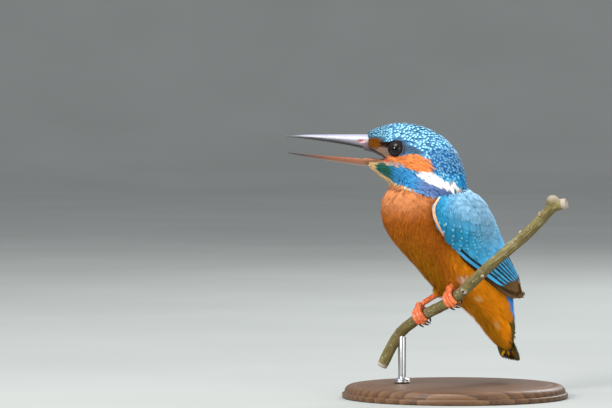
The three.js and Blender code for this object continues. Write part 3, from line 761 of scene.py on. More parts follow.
def markings(places):
    """The plumage at places on the body: red, green, blue, and how strongly its feathers are spotted."""
    share, _, angle = spine.at(places)
    flat = head_place(places)
    behind, above = flat.T
    turn = np.degrees(np.abs(angle))
    under = ease(above - breast_line(behind), 0.7, -0.7)
    edge = blue_edge(share)
    breast = under * ease(turn, edge - 3, edge + 3)
    marks = np.zeros((len(places), 4))
    marks[:, :3], marks[:, 3] = linear(PALETTE["crown"]), 1

    def lay_on(name, mask, spotted):
        marks[:] += mask[:, None] * (np.array([*linear(PALETTE[name]), spotted]) - marks)

    lay_on("forehead", ease(behind, -2, -6), 0.45)
    lay_on("face", ease(above, 2.2, 1.2) * ease(behind, 1.0, -0.5), 0)
    lay_on("nape", ease(share, 0.24, 0.36), 0.65)
    lay_on("back", ease(share, 0.36, 0.46), 0.0)
    lay_on("rump", ease(share, 0.6, 0.72), 0.0)
    lay_on("nape_band", ease(inside(flat, NAPE_BAND), -0.8, 0.8), 0.34)
    chin = -5 - 8 * ease(behind, -4, 2)
    lay_on("throat", ease(above - chin, 0, -2) * ease(behind, 12, 6) * ease(share, 0.4, 0.3), 0)
    lay_on("breast", breast, 0)
    # the forward top of the breast: its own pinker tinge and a painted highlight of the light from above
    lay_on("breast_top_tint_and_highlight", breast * ease(above, -34, -20) * ease(turn, 120, 165) * 0.75, 0)
    lay_on("belly", breast * ease(share, 0.5, 0.62) * ease(turn, 130, 165), 0)
    # painted light: the flank below the wing's lower edge gets the brighter vent orange where the wing shades
    # it
    lay_on("vent", breast * ease(share, 0.54, 0.66) * ease(turn, 150, 105) * 0.85, 0)
    lay_on("vent", breast * ease(share, 0.66, 0.78), 0)
    lay_on("vent_low", breast * ease(share, 0.66, 0.78) * ease(turn, 115, 150) * 0.8, 0)
    for name, along, high, wide, tall in PALE_TUFTS:
        middle = within("rump", along, 0, high)
        away = np.hypot((places[:, 0] - middle[0]) / wide, (places[:, 2] - middle[2]) / tall)
        lay_on(name, breast * ease(away, 1.1, 0.6) * (angle > 0) * 0.8, 0)
    margin = 90 + 52 * ease(share, 0.82, 0.99) + 14 * (angle < 0) * ease(share, 0.8, 0.86)
    lay_on("tail_under", ease(share, 0.8, 0.84) * ease(turn, 52, 62) * ease(turn, margin + 4, margin - 6), 0)
    malar = ease(inside(flat, MALAR), -0.4, 0.4)
    lay_on("malar", malar, 0.15)
    lay_on("malar_front", malar * ease(behind, 0.5, -3.5), 0.1)
    lay_on("malar_rear", malar * ease(behind, 7, 14), 0)
    lay_on("gape", ease(inside(flat, GAPE), -0.3, 0.3) * 0.8, 0)
    lay_on("ear", ease(inside(flat, EAR), -0.3, 0.3), 0)
    lay_on("white", ease(inside(flat, WHITE), -0.4, 0.3) * ease(turn, 34, 42), 0)
    lay_on("behind_eye", ease(inside(flat, BEHIND_EYE), -0.9, 0.9) * 0.7, 0)
    lay_on("behind_eye", ease(np.hypot(behind, above), 5.2, 3.8) * ease(above, -3.0, -1.5), 0)
    lay_on("lore", ease(inside(flat, LORE), -0.3, 0.3), 0)
    lay_on("lore_dark", ease(inside(flat, LORE_DARK), -0.4, 0.4), 0)
    lay_on("gape", ease(inside(flat, BARE), -0.5, 0.6) * 0.25, 0)
    lay_on("mouth", ease(inside(flat, MOUTH), -0.4, 0.0), 0)
    return marks


def coat_depth(places):
    """How deep the coat is over the skin, in millimetres: thin on the face, deep on the belly."""
    share, _, _ = spine.at(places)
    depth = 0.65 + 0.35 * ease(share, 0.05, 0.2)
    depth = depth + 1.1 * ease(share, 0.25, 0.5) - 1.6 * ease(share, 0.74, 0.86)
    for side in SIDES:
        hip, ankle = leg_ends(side)
        along = np.clip((places - ankle) @ (hip - ankle) / ((hip - ankle) @ (hip - ankle)), 0, 1)
        away = np.linalg.norm(places - ankle - along[:, None] * (hip - ankle), axis=1)
        depth = np.minimum(depth, 0.6 + ease(away, 2.2, 4.5) * 3)
    return depth


def leg_ends(side):
    """The upper and lower ends of a shank."""
    points = points_of(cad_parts[f"leg_{side}"].data)
    height = points[:, 2]
    return points[height > height.max() - 0.8].mean(0), points[height < height.min() + 0.8].mean(0)


# ---------------------------------------------------------------- skin


# the lids' section: distance from the eye's axis and height along it, from the face in to the globe
LID_PROFILE = [(4.3, 0.1), (3.8, 0.9), (3.5, 1.45), (3.28, 1.85), (3.12, 2.08), (3.0, 2.12), (2.93, 1.98),
               (2.92, 1.4)]


def looking(side, forward, up):
    """The way an eye or its lids face, turned a little to the bill and up, with the directions across it."""
    out = unit(np.array([-forward, -SIDES[side], up]))
    across = unit(np.cross(out, [0, 0, 1]))
    return out, across, np.cross(across, out)


def lid_ring(side):
    """Both lids of an eye: a low beaded rim on the globe that slopes out into the face."""
    out, across, rise = looking(side, 0.16, 0.1)
    rings = []
    for radius, height in LID_PROFILE:
        ring = []
        for angle in np.linspace(0, 2 * math.pi, 56, endpoint=False):
            beads = 0.05 * math.sin(angle * 30) * ease(radius, 4.0, 3.5) * ease(radius, 2.9, 3.1)
            corner = 1.01 + 0.07 * abs(math.cos(angle)) ** 6
            away = across * math.cos(angle) * corner + rise * math.sin(angle) * 0.93
            ring.append(eye_place[side] + away * (radius + beads) + out * (height + beads))
        rings.append(ring)
    points, faces = hoops(rings)
    return points, faces if side == "left" else faces[:, ::-1]


def body_bed():
    """The body's own surface, drawn in from the outline by the depth of the coat.

    Middle, mantle, shoulder and bosom are shares: 1 where the surface is smoothed more. The mantle and
    the shoulder are drawn in more too, and the bosom less.
    """
    points, faces = remeshed([*FLESH, "leg_left", "leg_right"], SKIN_VOXEL, 0.3)
    points = relaxed(points, faces, 8)
    share, _, _ = spine.at(points)
    middle = ease(share, 0.22, 0.36) * ease(share, 0.78, 0.7)
    points = relaxed(points, faces, 30, (0.5 * middle)[:, None])
    points = relaxed(points, faces, 14, (0.5 * ease(share, 0.76, 0.84))[:, None])
    share, _, angle = spine.at(points)
    turn = np.degrees(np.abs(angle))
    mantle = ease(np.abs(share - 0.42), 0.1, 0.02) * ease(turn, 85, 45)
    shoulder = ease(np.linalg.norm(points - within("neck", 1.0, 0.3, 0.05), axis=1), 11, 4)
    bosom = ease(share, 0.22, 0.3) * ease(share, 0.62, 0.42) * ease(turn, 90, 150)
    points = relaxed(points, faces, 60, (0.5 * mantle)[:, None])
    points = relaxed(points, faces, 300, (0.5 * shoulder)[:, None])
    depth = coat_depth(points) + 0.3 + 1.0 * mantle + 0.8 * shoulder - 2.0 * bosom
    for _ in range(3):
        normals = Bed(points, faces).normals
        points = relaxed(points - normals * depth[:, None] / 3, faces, 2)
    return Bed(relaxed(points, faces, 40, (0.5 * bosom)[:, None]), faces)


def wing_bed(side):
    """The arm and webs of a folded wing, a little inside its outline."""
    points, faces = remeshed([f"wing_{side}"], WING_VOXEL)
    points = relaxed(points, faces, 6)
    normals = Bed(points, faces).normals
    return Bed(relaxed(points - normals * 0.7, faces, 2), faces)


def foot(side):
    """A foot and its shank."""
    points, faces = remeshed([f"foot_{side}", f"leg_{side}"], FOOT_VOXEL, 0.1)
    return relaxed(points, faces, 5), faces


def scutes(points, side):
    """The plates across the toes: each place's turn round the twig, as a number of plates."""
    middle = within(f"foot_{side}", 0.5, 0.5, 0.5)
    twig = points_of(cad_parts["perch"].data)
    twig = twig[np.linalg.norm(twig - middle, axis=1) < 7]
    core = twig.mean(0)
    axis = np.linalg.svd(twig - core)[2][0]
    front = unit(np.cross(axis, [0, 0, 1]))
    rise = np.cross(front, axis)
    out = points - core
    return np.arctan2(out @ front, out @ rise) * SCUTES_ROUND / (2 * math.pi)


def skin(body, wings):
    """One skin for the whole bird: body and head, the wings' arms, the lids, the shanks and feet."""
    lids = [lid_ring(side) for side in SIDES]
    feet = [foot(side) for side in SIDES]
    parts = [(body.points, body.faces), *((wing.points, wing.faces) for wing in wings), *lids, *feet]
    start = np.cumsum([0] + [len(points) for points, _ in parts])
    points = np.vstack([points for points, _ in parts])
    faces = np.vstack([faces + first for (_, faces), first in zip(parts, start)])
    marks = markings(points)
    # a little darker still: painted shade under the feathers
    marks[:, :3] *= 0.95
    blue, brown = linear(PALETTE["wing"]) * 1.1, linear(PALETTE["wing_tip"]) * 0.35
    for side, first, last in zip(SIDES, start[1:], start[2:]):
        fades, ends = (within(f"wing_{side}", 0, 0, height)[2] for height in (0.32, 0.22))
        tip = ease(points[first:last, 2], fades, ends)
        marks[first:last, :3] = blue + (brown - blue) * tip[:, None]
    marks[start[3]:start[5], :3] = linear(PALETTE["lid"])
    mesh = mesh_of("skin", points, faces)
    attribute(mesh, "Marking", "FLOAT_COLOR", marks)
    plates = np.zeros(len(points))
    for side, first, last in zip(SIDES, start[5:], start[6:]):
        plates[first:last] = scutes(points[first:last], side)
    attribute(mesh, "Scute", "FLOAT", plates)
    nodes = [*FLESH, *(f"{part}_{side}" for part in ("wing", "leg", "foot") for side in SIDES)]
    piece("skin", mesh, skin_finish(), "plumage_orange", *nodes)
    mesh.materials.append(foot_finish())
    mesh.polygons.foreach_set("material_index", (faces[:, 0] >= start[5]).astype(np.int32))


# ---------------------------------------------------------------- feathers


class Vane:
    """How one kind of small feather is cut, and how it lies.

    It has a number of barbs of a number of steps. Rounding takes length from the outer barbs, opening
    spreads them sooner, fray is the share of each that tapers, width is a barb's share of its room, and
    rough varies their lengths. The feather lifts off the bed by lift at its root and as that share of
    the coat's depth at its tip, camber bends its sides down, twist tilts the barbs, and spot is half
    the breadth of its pale spot.
    """

    def __init__(self, barbs, steps, rounding, opening, fray, width, rough, lift, camber=0.04, twist=0.14,
                 spot=0.45):
        self.barbs, self.steps, self.rounding, self.opening = barbs, steps, rounding, opening
        self.fray, self.width, self.rough, self.lift = fray, width, rough, lift
        self.camber, self.twist, self.spot = camber, twist, spot


def along_lines(lines, share):
    """Points of many lines, each at its own shares of its length."""
    last = lines.shape[1] - 1
    at = np.clip(share, 0, 1) * last
    i = np.minimum(at.astype(int), last - 1)
    f = (at - i)[..., None]
    rows = np.arange(len(lines))[:, None]
    return lines[rows, i] * (1 - f) + lines[rows, i + 1] * f


def ladders(count, steps):
    """Quads of strips whose points come in pairs, one strip after another."""
    corner = np.arange(count)[:, None] * steps * 2 + np.arange(steps - 1)[None] * 2
    return np.stack([corner, corner + 1, corner + 3, corner + 2], -1).reshape(-1, 4)


def lie_of(along, across, strand, spot):
    """What a vane's material reads at each pair of its points."""
    return np.repeat(np.stack(np.broadcast_arrays(along, across, strand, spot), -1).reshape(-1, 4), 2, axis=0)


def strips(lines, normals, along, sideways, blade, height, tilt):
    """Narrow strips over many lines: each point is given along, beside and above its line."""
    count, rows, steps = along.shape
    flat = along.reshape(count, -1)
    chord = np.linalg.norm(lines[:, -1] - lines[:, 0], axis=1)[:, None, None]
    over = np.maximum(flat - 1, 0)[..., None] * chord
    heading = unit(along_lines(np.gradient(lines, axis=1), flat))
    middle = along_lines(lines, flat) + heading * over
    normal = unit(along_lines(normals, flat))
    side = unit(np.cross(normal, heading))
    edges = []
    for edge in (-1, 1):
        beside = (sideways + edge * blade).reshape(count, -1, 1)
        above = (height + edge * blade * tilt).reshape(count, -1, 1)
        edges.append(middle + side * beside + normal * above)
    return np.stack(edges, 2).reshape(-1, 3), ladders(count * rows, steps)


def fans(lines, normals, widths, deep, vane, rng):
    """Small feathers as fans of barbs laid over their lines: points, quads, and places on the feather."""
    count, barbs, steps = len(lines), vane.barbs, vane.steps
    across = np.linspace(-1, 1, barbs)[None, :, None]
    reach = 1 - vane.rounding * np.abs(across) ** 2.2
    reach = reach * (1 + rng.uniform(-vane.rough, vane.rough, (count, barbs, 1)))
    share = np.linspace(0, 1, steps + 1)[None, None, :]
    along = reach * share
    spread = 1 - (1 - np.clip(along, 0, 1)) ** vane.opening
    half = widths[:, None, None] / 2
    taper = 1 - 0.93 * np.clip((share - 1 + vane.fray) / vane.fray, 0, 1) ** 1.5
    blade = half / barbs * 2 * vane.width * np.sqrt(np.clip(spread, 0.05, 1)) * taper
    wander = rng.uniform(-1, 1, (count, barbs, 1)) * share**2 * half / barbs * 0.9
    offset = across * half * (1 - 1 / barbs) * spread + wander
    low, high = vane.lift
    rise = low + (high * deep[:, None, None] - low) * along**0.85
    rise = rise - vane.camber * half * across**2 * spread * 2
    rise = rise + rng.uniform(-0.06, 0.06, (count, barbs, 1)) * share
    tilt = rng.uniform(-vane.twist, vane.twist, (count, barbs, 1)) - vane.twist * 0.5 * np.sign(across)
    points, quads = strips(lines, normals, along, offset, blade, rise, tilt)
    strand = rng.uniform(0, 1, (count, 1, 1)) + rng.uniform(-0.16, 0.16, (count, barbs, 1))
    return points, quads, lie_of(along, across, strand, vane.spot)


def plumes(lines, normals, widths, rng, hand, inner, tip, barbs, sweep=0.1, shaft=0.2):
    """Long feathers: webs of slanting barbs, inner times as wide on the side at +1, and their shafts.

    Tip is the share that narrows to the end, and sweep how far the barbs slant.
    """
    count = len(lines)
    sides = np.repeat([-1.0, 1.0], barbs)[None, :, None]
    root = np.tile(np.linspace(0.02, 0.985, barbs), 2)[None, :, None]
    run = np.array([0.0, 0.35, 0.7, 1.0])[None, None, :]
    drift = rng.uniform(-0.005, 0.005, (count, 2 * barbs, 1))
    along = np.minimum(root + (sweep * (1 - 0.75 * root**3) + drift) * run**1.15, 1.0)
    outline = np.clip(along / 0.2, 0, 1) ** 0.6 * (1 - np.clip((along - 1 + tip) / tip, 0, 1) ** 3.2) ** 0.6
    beside = sides * hand * run * widths[:, None, None] / 2 * np.where(sides > 0, inner, 1.0) * outline
    length = np.linalg.norm(np.diff(lines, axis=1), axis=2).sum(1)[:, None, None]
    blade = length / barbs * 0.56 * (1 - 0.25 * run**3) * np.ones_like(along)
    edges = []
    for edge in (-1, 1):
        flat = (along + edge * blade / length).reshape(count, -1)
        heading = unit(along_lines(np.gradient(lines, axis=1), flat))
        normal = unit(along_lines(normals, flat))
        side = unit(np.cross(normal, heading))
        above = (-0.12 * np.abs(beside) * run + edge * 0.05).reshape(count, -1, 1)
        edges.append(along_lines(lines, flat) + side * beside.reshape(count, -1, 1) + normal * above)
    strand = rng.uniform(0.2, 0.8, (count, 1, 1)) + rng.uniform(-0.12, 0.12, (count, 2 * barbs, 1))
    webs = (np.stack(edges, 2).reshape(-1, 3), ladders(count * 2 * barbs, 4),
            lie_of(along, sides * run, strand, 1.0))
    share = np.broadcast_to(np.linspace(0, 0.985, 13)[None, None], (count, 2, 13))
    thin = shaft * (1.05 - share)
    ridge = np.array([-0.5, 0.5])[None, :, None] * thin
    slope = np.array([1.2, -1.2])[None, :, None] * np.ones_like(share)
    shafts = strips(lines, normals, share, ridge, thin / 2, 0.06 + 0 * share, slope)
    return webs, (*shafts, lie_of(share, 0, 0, 1))


def bake_places(roots):
    """Where roots lie on an unwrap of the skin: round the spine and along it."""
    share, _, angle = spine.at(roots)
    return np.stack([0.03 + 0.94 * (angle / (2 * math.pi) + 0.5), 0.03 + 0.94 * share], -1)


COAT_FINISHES = {
    "plumage_blue": coat_finish("plumage_blue_vane", 0.22),
    "plumage_orange": coat_finish("plumage_orange_vane", 0.04),
}


class Coat:
    """The feathers of one tract, joined into one piece."""

    def __init__(self, name, slot):
        self.name, self.slot, self.batches = f"{name}_1", slot, []

    def add(self, made, roots, marks):
        """Takes feathers as points, quads and lie, with their roots, and marks for each feather or point."""
        points, quads, lie = made
        worn = np.repeat(marks, len(points) // len(marks), axis=0)
        patch = np.repeat(bake_places(roots), len(points) // len(roots), axis=0)
        patch = patch + PATCH * np.stack([lie[:, 1] / 2, lie[:, 0]], -1)
        self.batches.append((points, quads, worn, lie, patch))

    def join(self, *nodes):
        """Makes the piece, which may stand for some CAD nodes."""
        starts = np.cumsum([0] + [len(batch[0]) for batch in self.batches])
        quads = np.vstack([batch[1] + start for batch, start in zip(self.batches, starts)])
        points, _, worn, lie, patch = (np.vstack(column) for column in zip(*self.batches))
        mesh = mesh_of(self.name, points, quads)
        attribute(mesh, "Marking", "FLOAT_COLOR", worn)
        attribute(mesh, "Lie", "FLOAT_COLOR", lie)
        layer = mesh.uv_layers.new(name="OFBake")
        layer.uv.foreach_set("vector", patch[quads.ravel()].astype(np.float32).ravel())
        piece(self.name, mesh, COAT_FINISHES[self.slot], self.slot, *nodes)


# ---------------------------------------------------------------- coat of the body

# each tract: length, width and spacing of its feathers, their cut, and the record's slot
TRACTS = {
    "breast": (6.5, 3.7, 1.02, Vane(11, 4, 0.45, 2.0, 0.5, 0.72, 0.1, (0.1, 0.85)), "plumage_orange"),
    "belly": (7.5, 3.4, 1.2, Vane(11, 4, 0.5, 1.9, 0.55, 0.68, 0.14, (0.1, 0.9)), "plumage_orange"),
    "vent": (8.0, 3.4, 1.25, Vane(11, 4, 0.5, 1.9, 0.55, 0.66, 0.14, (0.1, 0.95)), "plumage_orange"),
    "back": (6.5, 3.4, 1.35, Vane(11, 4, 0.4, 2.4, 0.45, 0.68, 0.08, (0.1, 0.85)), "plumage_blue"),
    "rump": (8.0, 3.4, 1.3, Vane(11, 4, 0.5, 2.0, 0.5, 0.66, 0.12, (0.1, 0.9)), "plumage_blue"),
    "nape": (4.4, 2.2, 1.0, Vane(8, 4, 0.4, 2.2, 0.35, 0.72, 0.08, (0.08, 0.9), spot=0.52), "plumage_blue"),
    "crown": (3.4, 2.0, 1.15, Vane(8, 4, 0.3, 2.6, 0.18, 0.78, 0.05, (0.08, 0.95), spot=0.6), "plumage_blue"),
    "forehead": (2.6, 1.3, 0.8, Vane(6, 3, 0.3, 2.4, 0.25, 0.76, 0.06, (0.06, 0.95), spot=1.2),
                 "plumage_blue"),
    "throat": (3.6, 1.6, 0.85, Vane(7, 4, 0.5, 1.9, 0.55, 0.66, 0.12, (0.06, 0.9)), "plumage_orange"),
    "malar": (3.8, 1.5, 0.8, Vane(7, 4, 0.4, 2.0, 0.4, 0.68, 0.1, (0.06, 0.9), spot=0.4), "plumage_blue"),
    "white": (5.5, 2.0, 0.8, Vane(8, 4, 0.5, 1.9, 0.5, 0.74, 0.1, (0.1, 1.1)), "plumage_orange"),
    "ear": (4.6, 1.3, 0.68, Vane(6, 4, 0.5, 1.7, 0.6, 0.7, 0.14, (0.06, 1.0)), "plumage_orange"),
    "lores": (1.9, 0.7, 0.55, Vane(4, 3, 0.5, 1.7, 0.65, 0.65, 0.2, (0.04, 0.7)), "plumage_orange"),
    "lids": (1.1, 0.5, 0.45, Vane(3, 2, 0.4, 1.8, 0.6, 0.7, 0.15, (0.03, 0.4)), "plumage_orange"),
}
TRACT_NAMES = list(TRACTS)


def tracts_of(places):
    """Which tract each place belongs to, as its number in the table, and -1 where nothing grows.

    A later rule wins over an earlier one.
    """
    share, _, angle = spine.at(places)
    flat = head_place(places)
    behind, above = flat.T
    turn = np.degrees(np.abs(angle))
    orange = (above < breast_line(behind)) & (turn > blue_edge(share))
    found = np.full(len(places), TRACT_NAMES.index("crown"))
    rules = [
        ("forehead", behind < -3.5),
        ("nape", share > 0.24),
        ("back", share > 0.38),
        ("rump", share > 0.66),
        ("throat", (above < -6) & (behind < 8) & (share < 0.36)),
        ("breast", orange),
        ("lores", (above < 1.8) & (above > -7) & (behind < 0)),
        ("malar", inside(flat, MALAR) > 0),
        ("malar", inside(flat, GAPE) > 0),
        ("ear", inside(flat, EAR) > 0),
        ("white", (inside(flat, WHITE) > 0) & (turn > 38)),
        *(("lores", inside(flat, outline) > 0) for outline in (LORE, LORE_DARK, BARE, BEHIND_EYE)),
        ("lids", np.hypot(behind, above) < 5.0),
    ]
    for name, rule in rules:
        found[rule] = TRACT_NAMES.index(name)
    ventral = found == TRACT_NAMES.index("breast")
    found[ventral & (share > 0.56)] = TRACT_NAMES.index("belly")
    found[ventral & (share > 0.7)] = TRACT_NAMES.index("vent")
    bare = (np.hypot(behind, above) < BARE_EYE) | (inside(flat, MOUTH) > -0.7)
    for side in SIDES:
        bare |= np.linalg.norm(places - leg_ends(side)[1], axis=1) < BARE_ANKLE
    found[bare] = -1
    return found


def scatter(bed, rng):
    """Roots spread evenly over the body, as far apart as each tract's spacing."""
    corners = bed.points[bed.faces]
    area = np.linalg.norm(np.cross(corners[:, 2] - corners[:, 0], corners[:, 3] - corners[:, 1]), axis=1) / 2
    spacing = np.array([TRACTS[name][2] for name in TRACT_NAMES] + [1e3])
    room = spacing[tracts_of(corners.mean(1))]
    wanted = area / room**2
    count = int(wanted.sum() * 5)  # more than can stay, so that few gaps are left
    chosen = rng.choice(len(area), count, p=wanted / wanted.sum())
    f, g = rng.random((2, count, 1))
    a, b, c, d = corners[chosen].transpose(1, 0, 2)
    places = (a * (1 - f) + b * f) * (1 - g) + (d * (1 - f) + c * f) * g
    room = room[chosen]
    tree = tree_of(places)
    free = np.ones(count, bool)
    kept = []
    for i in range(count):
        if free[i]:
            kept.append(i)
            for _, j, _ in tree.find_range(places[i], room[i]):
                free[j] = False
    return places[kept]


def body_coat(bed):
    """The small feathers of head, neck, trunk and rump."""
    rng = np.random.default_rng(7)
    roots = scatter(bed, rng)
    tract = tracts_of(roots)
    shares = spine.at(roots)[0]
    keep = shares < 0.985
    roots, tract, shares = roots[keep], tract[keep], shares[keep]
    for number, (name, (length, width, _, vane, slot)) in enumerate(TRACTS.items()):
        mine, share = roots[tract == number], shares[tract == number]
        lengths = length * rng.uniform(0.85, 1.12, len(mine)) * (1 - 0.45 * ease(share, 0.78, 0.9))
        swing = rng.normal(0, 0.1, len(mine))
        lines, normals = bed.lay(mine, lengths, vane.steps + 1, swing)
        widths = width * rng.uniform(0.88, 1.12, len(mine))
        coat = Coat(f"coat_{name}", slot)
        shown = lines[:, -2] + rng.normal(0, 0.22, mine.shape)  # most of a feather's root is covered
        coat.add(fans(lines, normals, widths, coat_depth(mine), vane, rng), mine, markings(shown))
        coat.join()


# ---------------------------------------------------------------- wings


def cast(tree, share, angle):
    """Where a line from outside towards the spine meets the wing, and where it starts."""
    middle, left, back = spine.cross_section(share)
    out = back * math.cos(angle) + left * math.sin(angle)
    start = middle + out * 60
    spot = tree.ray_cast(Vector(start), Vector(-out), 60)[0]
    return (np.array(spot) if spot is not None else None), start


def wing_grid(rows=70, columns=30):
    """The outside of the left wing as a grid of places and their normals.

    Its rows run from the bend to the tip, and each row from the lower edge to the upper.
    """
    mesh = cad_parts["wing_left"].data
    points = points_of(mesh)
    tree = BVHTree.FromPolygons(points.tolist(), faces_of(mesh, 3).tolist())
    shares = spine.at(points)[0]
    steps = np.linspace(shares.min() + 0.006, shares.max() - 0.004, rows)
    sweep = np.radians(np.arange(-10, 150, 1.25))
    low, high, found = [], [], []
    for step in steps:
        hits = [angle for angle in sweep if cast(tree, step, angle)[0] is not None]
        if len(hits) > 2:
            found.append(step)
            low.append(hits[-1])
            high.append(hits[0])
    kernel = np.array([1, 2, 3, 2, 1]) / 9
    low, high = (np.convolve(np.pad(edge, 2, "edge"), kernel, "valid") for edge in (low, high))
    grid = np.empty((rows, columns, 3))
    for i, step in enumerate(steps):
        bottom, top = np.interp(step, found, low), np.interp(step, found, high)
        for j, share in enumerate(np.linspace(0.02, 0.98, columns)):
            spot, start = cast(tree, step, bottom + (top - bottom) * share)
            grid[i, j] = spot if spot is not None else tree.find_nearest(start)[0]
    for _ in range(6):
        padded = np.pad(grid, ((1, 1), (1, 1), (0, 0)), "reflect", reflect_type="odd")
        across = padded[1:-1, :-2] + padded[1:-1, 2:]
        grid = grid * 0.5 + (across + padded[:-2, 1:-1] + padded[2:, 1:-1]) * 0.125
    turn = unit(np.cross(np.gradient(grid, axis=0), np.gradient(grid, axis=1)))
    return grid, turn * -np.sign(turn[..., 1].mean())


def mirrored(grid, normals):
    """The left wing's grid as the right wing's, on the other side of the trunk."""
    across = spine.lefts[-1]
    middle = sum(points_of(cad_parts[f"wing_{side}"].data).mean(0) for side in SIDES) / 2
    grid = grid - 2 * ((grid - middle) @ across)[..., None] * across
    return grid, normals - 2 * (normals @ across)[..., None] * across


class Wing:
    """A folded wing's outside: a runs from the bend to the tip, and b from the lower edge to the upper."""

    def __init__(self, side, grid, normals):
        self.side, self.hand, self.grid, self.normals = side, SIDES[side], grid, normals

    def at(self, a, b, height):
        """Places over the wing and the normals there."""
        rows, columns = self.grid.shape[:2]
        a = np.clip(a, 0, 1.06) * (rows - 1)
        b = np.clip(b, -0.05, 1.05) * (columns - 1)
        i = np.clip(a.astype(int), 0, rows - 2)
        j = np.clip(b.astype(int), 0, columns - 2)
        f, g = (a - i)[..., None], (b - j)[..., None]
        mixed = []
        for field in (self.grid, self.normals):
            near = field[i, j] * (1 - g) + field[i, j + 1] * g
            far = field[i + 1, j] * (1 - g) + field[i + 1, j + 1] * g
            mixed.append(near * (1 - f) + far * f)
        normals = unit(mixed[1])
        return mixed[0] + normals * height[..., None], normals

    def lines(self, start, end, heights, stations):
        """Feather lines between (a, b) shares, rising through the two heights from root to tip."""
        t = np.linspace(0, 1, stations)[None]
        a = start[0][:, None] * (1 - t) + end[0][:, None] * t
        b = start[1][:, None] * (1 - t) + end[1][:, None] * t
        return self.at(a, b, heights[0] * (1 - t) + heights[1] * t + 0 * a)


COVERT = Vane(15, 5, 0.35, 2.4, 0.2, 0.78, 0.05, (0.0, 0.0), 0.06, 0.06, spot=0.19)
SCALE = Vane(9, 4, 0.45, 2.2, 0.4, 0.76, 0.1, (0.0, 0.0), 0.04, 0.06, spot=0.2)


def wing_colour(a, b):
    """The wing's blue, brighter towards the tail; pale and grey by the shoulder, partly a painted sheen, with
    a painted highlight along the back edge.
    """
    bright = ease(a, 0.35, 0.7)[..., None]
    # pale: by the shoulder partly the wing's own tone and partly a painted sheen; along the back edge a
    # painted highlight
    pale = ease(a, 0.34, 0.06) * ease(b, 0.02, 0.35) + 0.8 * ease(b, 0.25, 0.7) * ease(a, 0.8, 0.5)
    pale = np.minimum(pale, 1)[..., None]
    tone = linear(PALETTE["wing"]) * (1 - bright) + linear(PALETTE["web"]) * bright
    tone = tone * (1 - 0.35 * ease(b, 0.35, 0.0) * ease(a, 0.1, 0.3))[..., None]
    return tone * (1 - pale * 0.85) + linear(PALETTE["wing_pale_and_sheen"]) * pale * 0.85


def coverts(wing, rng):
    """Rows of covert feathers from the middle of the wing to its bend, spotted cyan at their tips."""
    coat = Coat(f"coverts_{wing.side}", "plumage_blue")
    tips = [*np.arange(0.66, 0.18, -0.048), *np.arange(0.17, 0.0, -0.026)]
    for number, tip in enumerate(tips):
        small = float(ease(np.array(tip), 0.26, 0.08))
        size = 3.2 - 1.3 * small
        row = wing.at(np.full(20, tip), np.linspace(0, 1, 20), np.zeros(20))[0]
        count = max(int(np.linalg.norm(np.diff(row, axis=0), axis=1).sum() / size / 0.88), 3)
        b = (np.arange(count) + 0.5 + 0.25 * (-1) ** number) / count + rng.normal(0, 0.01, count)
        b = b[(b > 0.14) | (tip < 0.5)]  # the last rows leave the lower edge to the primaries
        count = len(b)
        slant = 0.3 * (b - 0.15) * math.sin(math.pi * tip / 0.72)
        ends = tip + slant + rng.normal(0, 0.006, count)
        length = (0.135 + 0.03 * (number == 0)) * (1 - 0.42 * small)
        lift = 0.5 + 0.05 * number + 0.2 * b[:, None]
        vane = COVERT if small < 0.5 else SCALE
        lines, normals = wing.lines((ends - length, b), (ends, b - 0.01), (lift - 0.4, lift), vane.steps + 2)
        marks = np.empty((count, 4))
        marks[:, :3] = wing_colour(ends, b) * rng.uniform(0.88, 1.12, (count, 1))
        spotted = ease(ends, 0.13, 0.2) * ease(b, 1.0, 0.9) * (0.65 if number else 0.3)
        marks[:, 3] = spotted * rng.uniform(0.5, 1.15, count)
        widths = np.full(count, size * (1.55 + 0.25 * small))
        coat.add(fans(lines, normals, widths, np.zeros(count), vane, rng), lines[:, 0], marks)
    coat.join()


def wing_rim(wing, rng):
    """The pale, downy edge where the bend of the wing meets the breast."""
    coat = Coat(f"wing_rim_{wing.side}", "plumage_orange")
    vane = Vane(5, 4, 0.4, 1.8, 0.4, 0.75, 0.1, (0.0, 0.0), 0.1, 0.2)
    for row in range(2):
        count = 60
        a = np.linspace(-0.03, 0.24, count) + rng.normal(0, 0.003, count)
        b = np.full(count, -0.03 + 0.014 * row)
        height = 0.9 + 0.3 * row
        lines, normals = wing.lines((a, b), (a + 0.06, b - 0.002), (height, height + 0.2), vane.steps + 1)
        marks = unspotted(np.tile(linear(PALETTE["wing_edge"]), (count, 1)))
        widths = 0.95 - 0.5 * ease(a, 0.14, 0.24)
        coat.add(fans(lines, normals, widths, np.zeros(count), vane, rng), lines[:, 0], marks)
    coat.join()


# the folded flight feathers, each set from its lowest feather to its highest: the places of the roots
# and the tips along (a) and up (b) the wing, the heights of the root and the tip over it, the width
# in millimetres, the inner web's breadth to the outer's, both webs' colours, and how dusky the roots are
FLIGHTS = [
    {"count": 7, "root_a": (0.42, 0.5), "root_b": (0.02, 0.34), "tip_a": (1.02, 0.95), "tip_b": (0.0, 0.5),
     "heights": (-0.5, -0.45), "width": 3.4, "inner": 1.6, "webs": ("wing_tip", "wing_tip"), "dusk": 0.75},
    {"count": 9, "root_a": (0.36, 0.44), "root_b": (0.04, 0.6), "tip_a": (0.82, 0.91), "tip_b": (0.1, 0.78),
     "heights": (-0.35, 0.0), "width": 3.4, "inner": 2.0, "webs": ("web", "web_dark"), "dusk": 0},
    {"count": 5, "root_a": (0.34, 0.44), "root_b": (0.62, 0.95), "tip_a": (0.91, 0.955),
     "tip_b": (0.8, 0.98), "heights": (-0.3, 0.2), "width": 3.2, "inner": 1.4, "webs": ("web", "web_dark"),
     "dusk": 0},
]


def unspotted(tones):
    """Markings of these colours without spots."""
    return np.hstack([tones, np.zeros((len(tones), 1))])


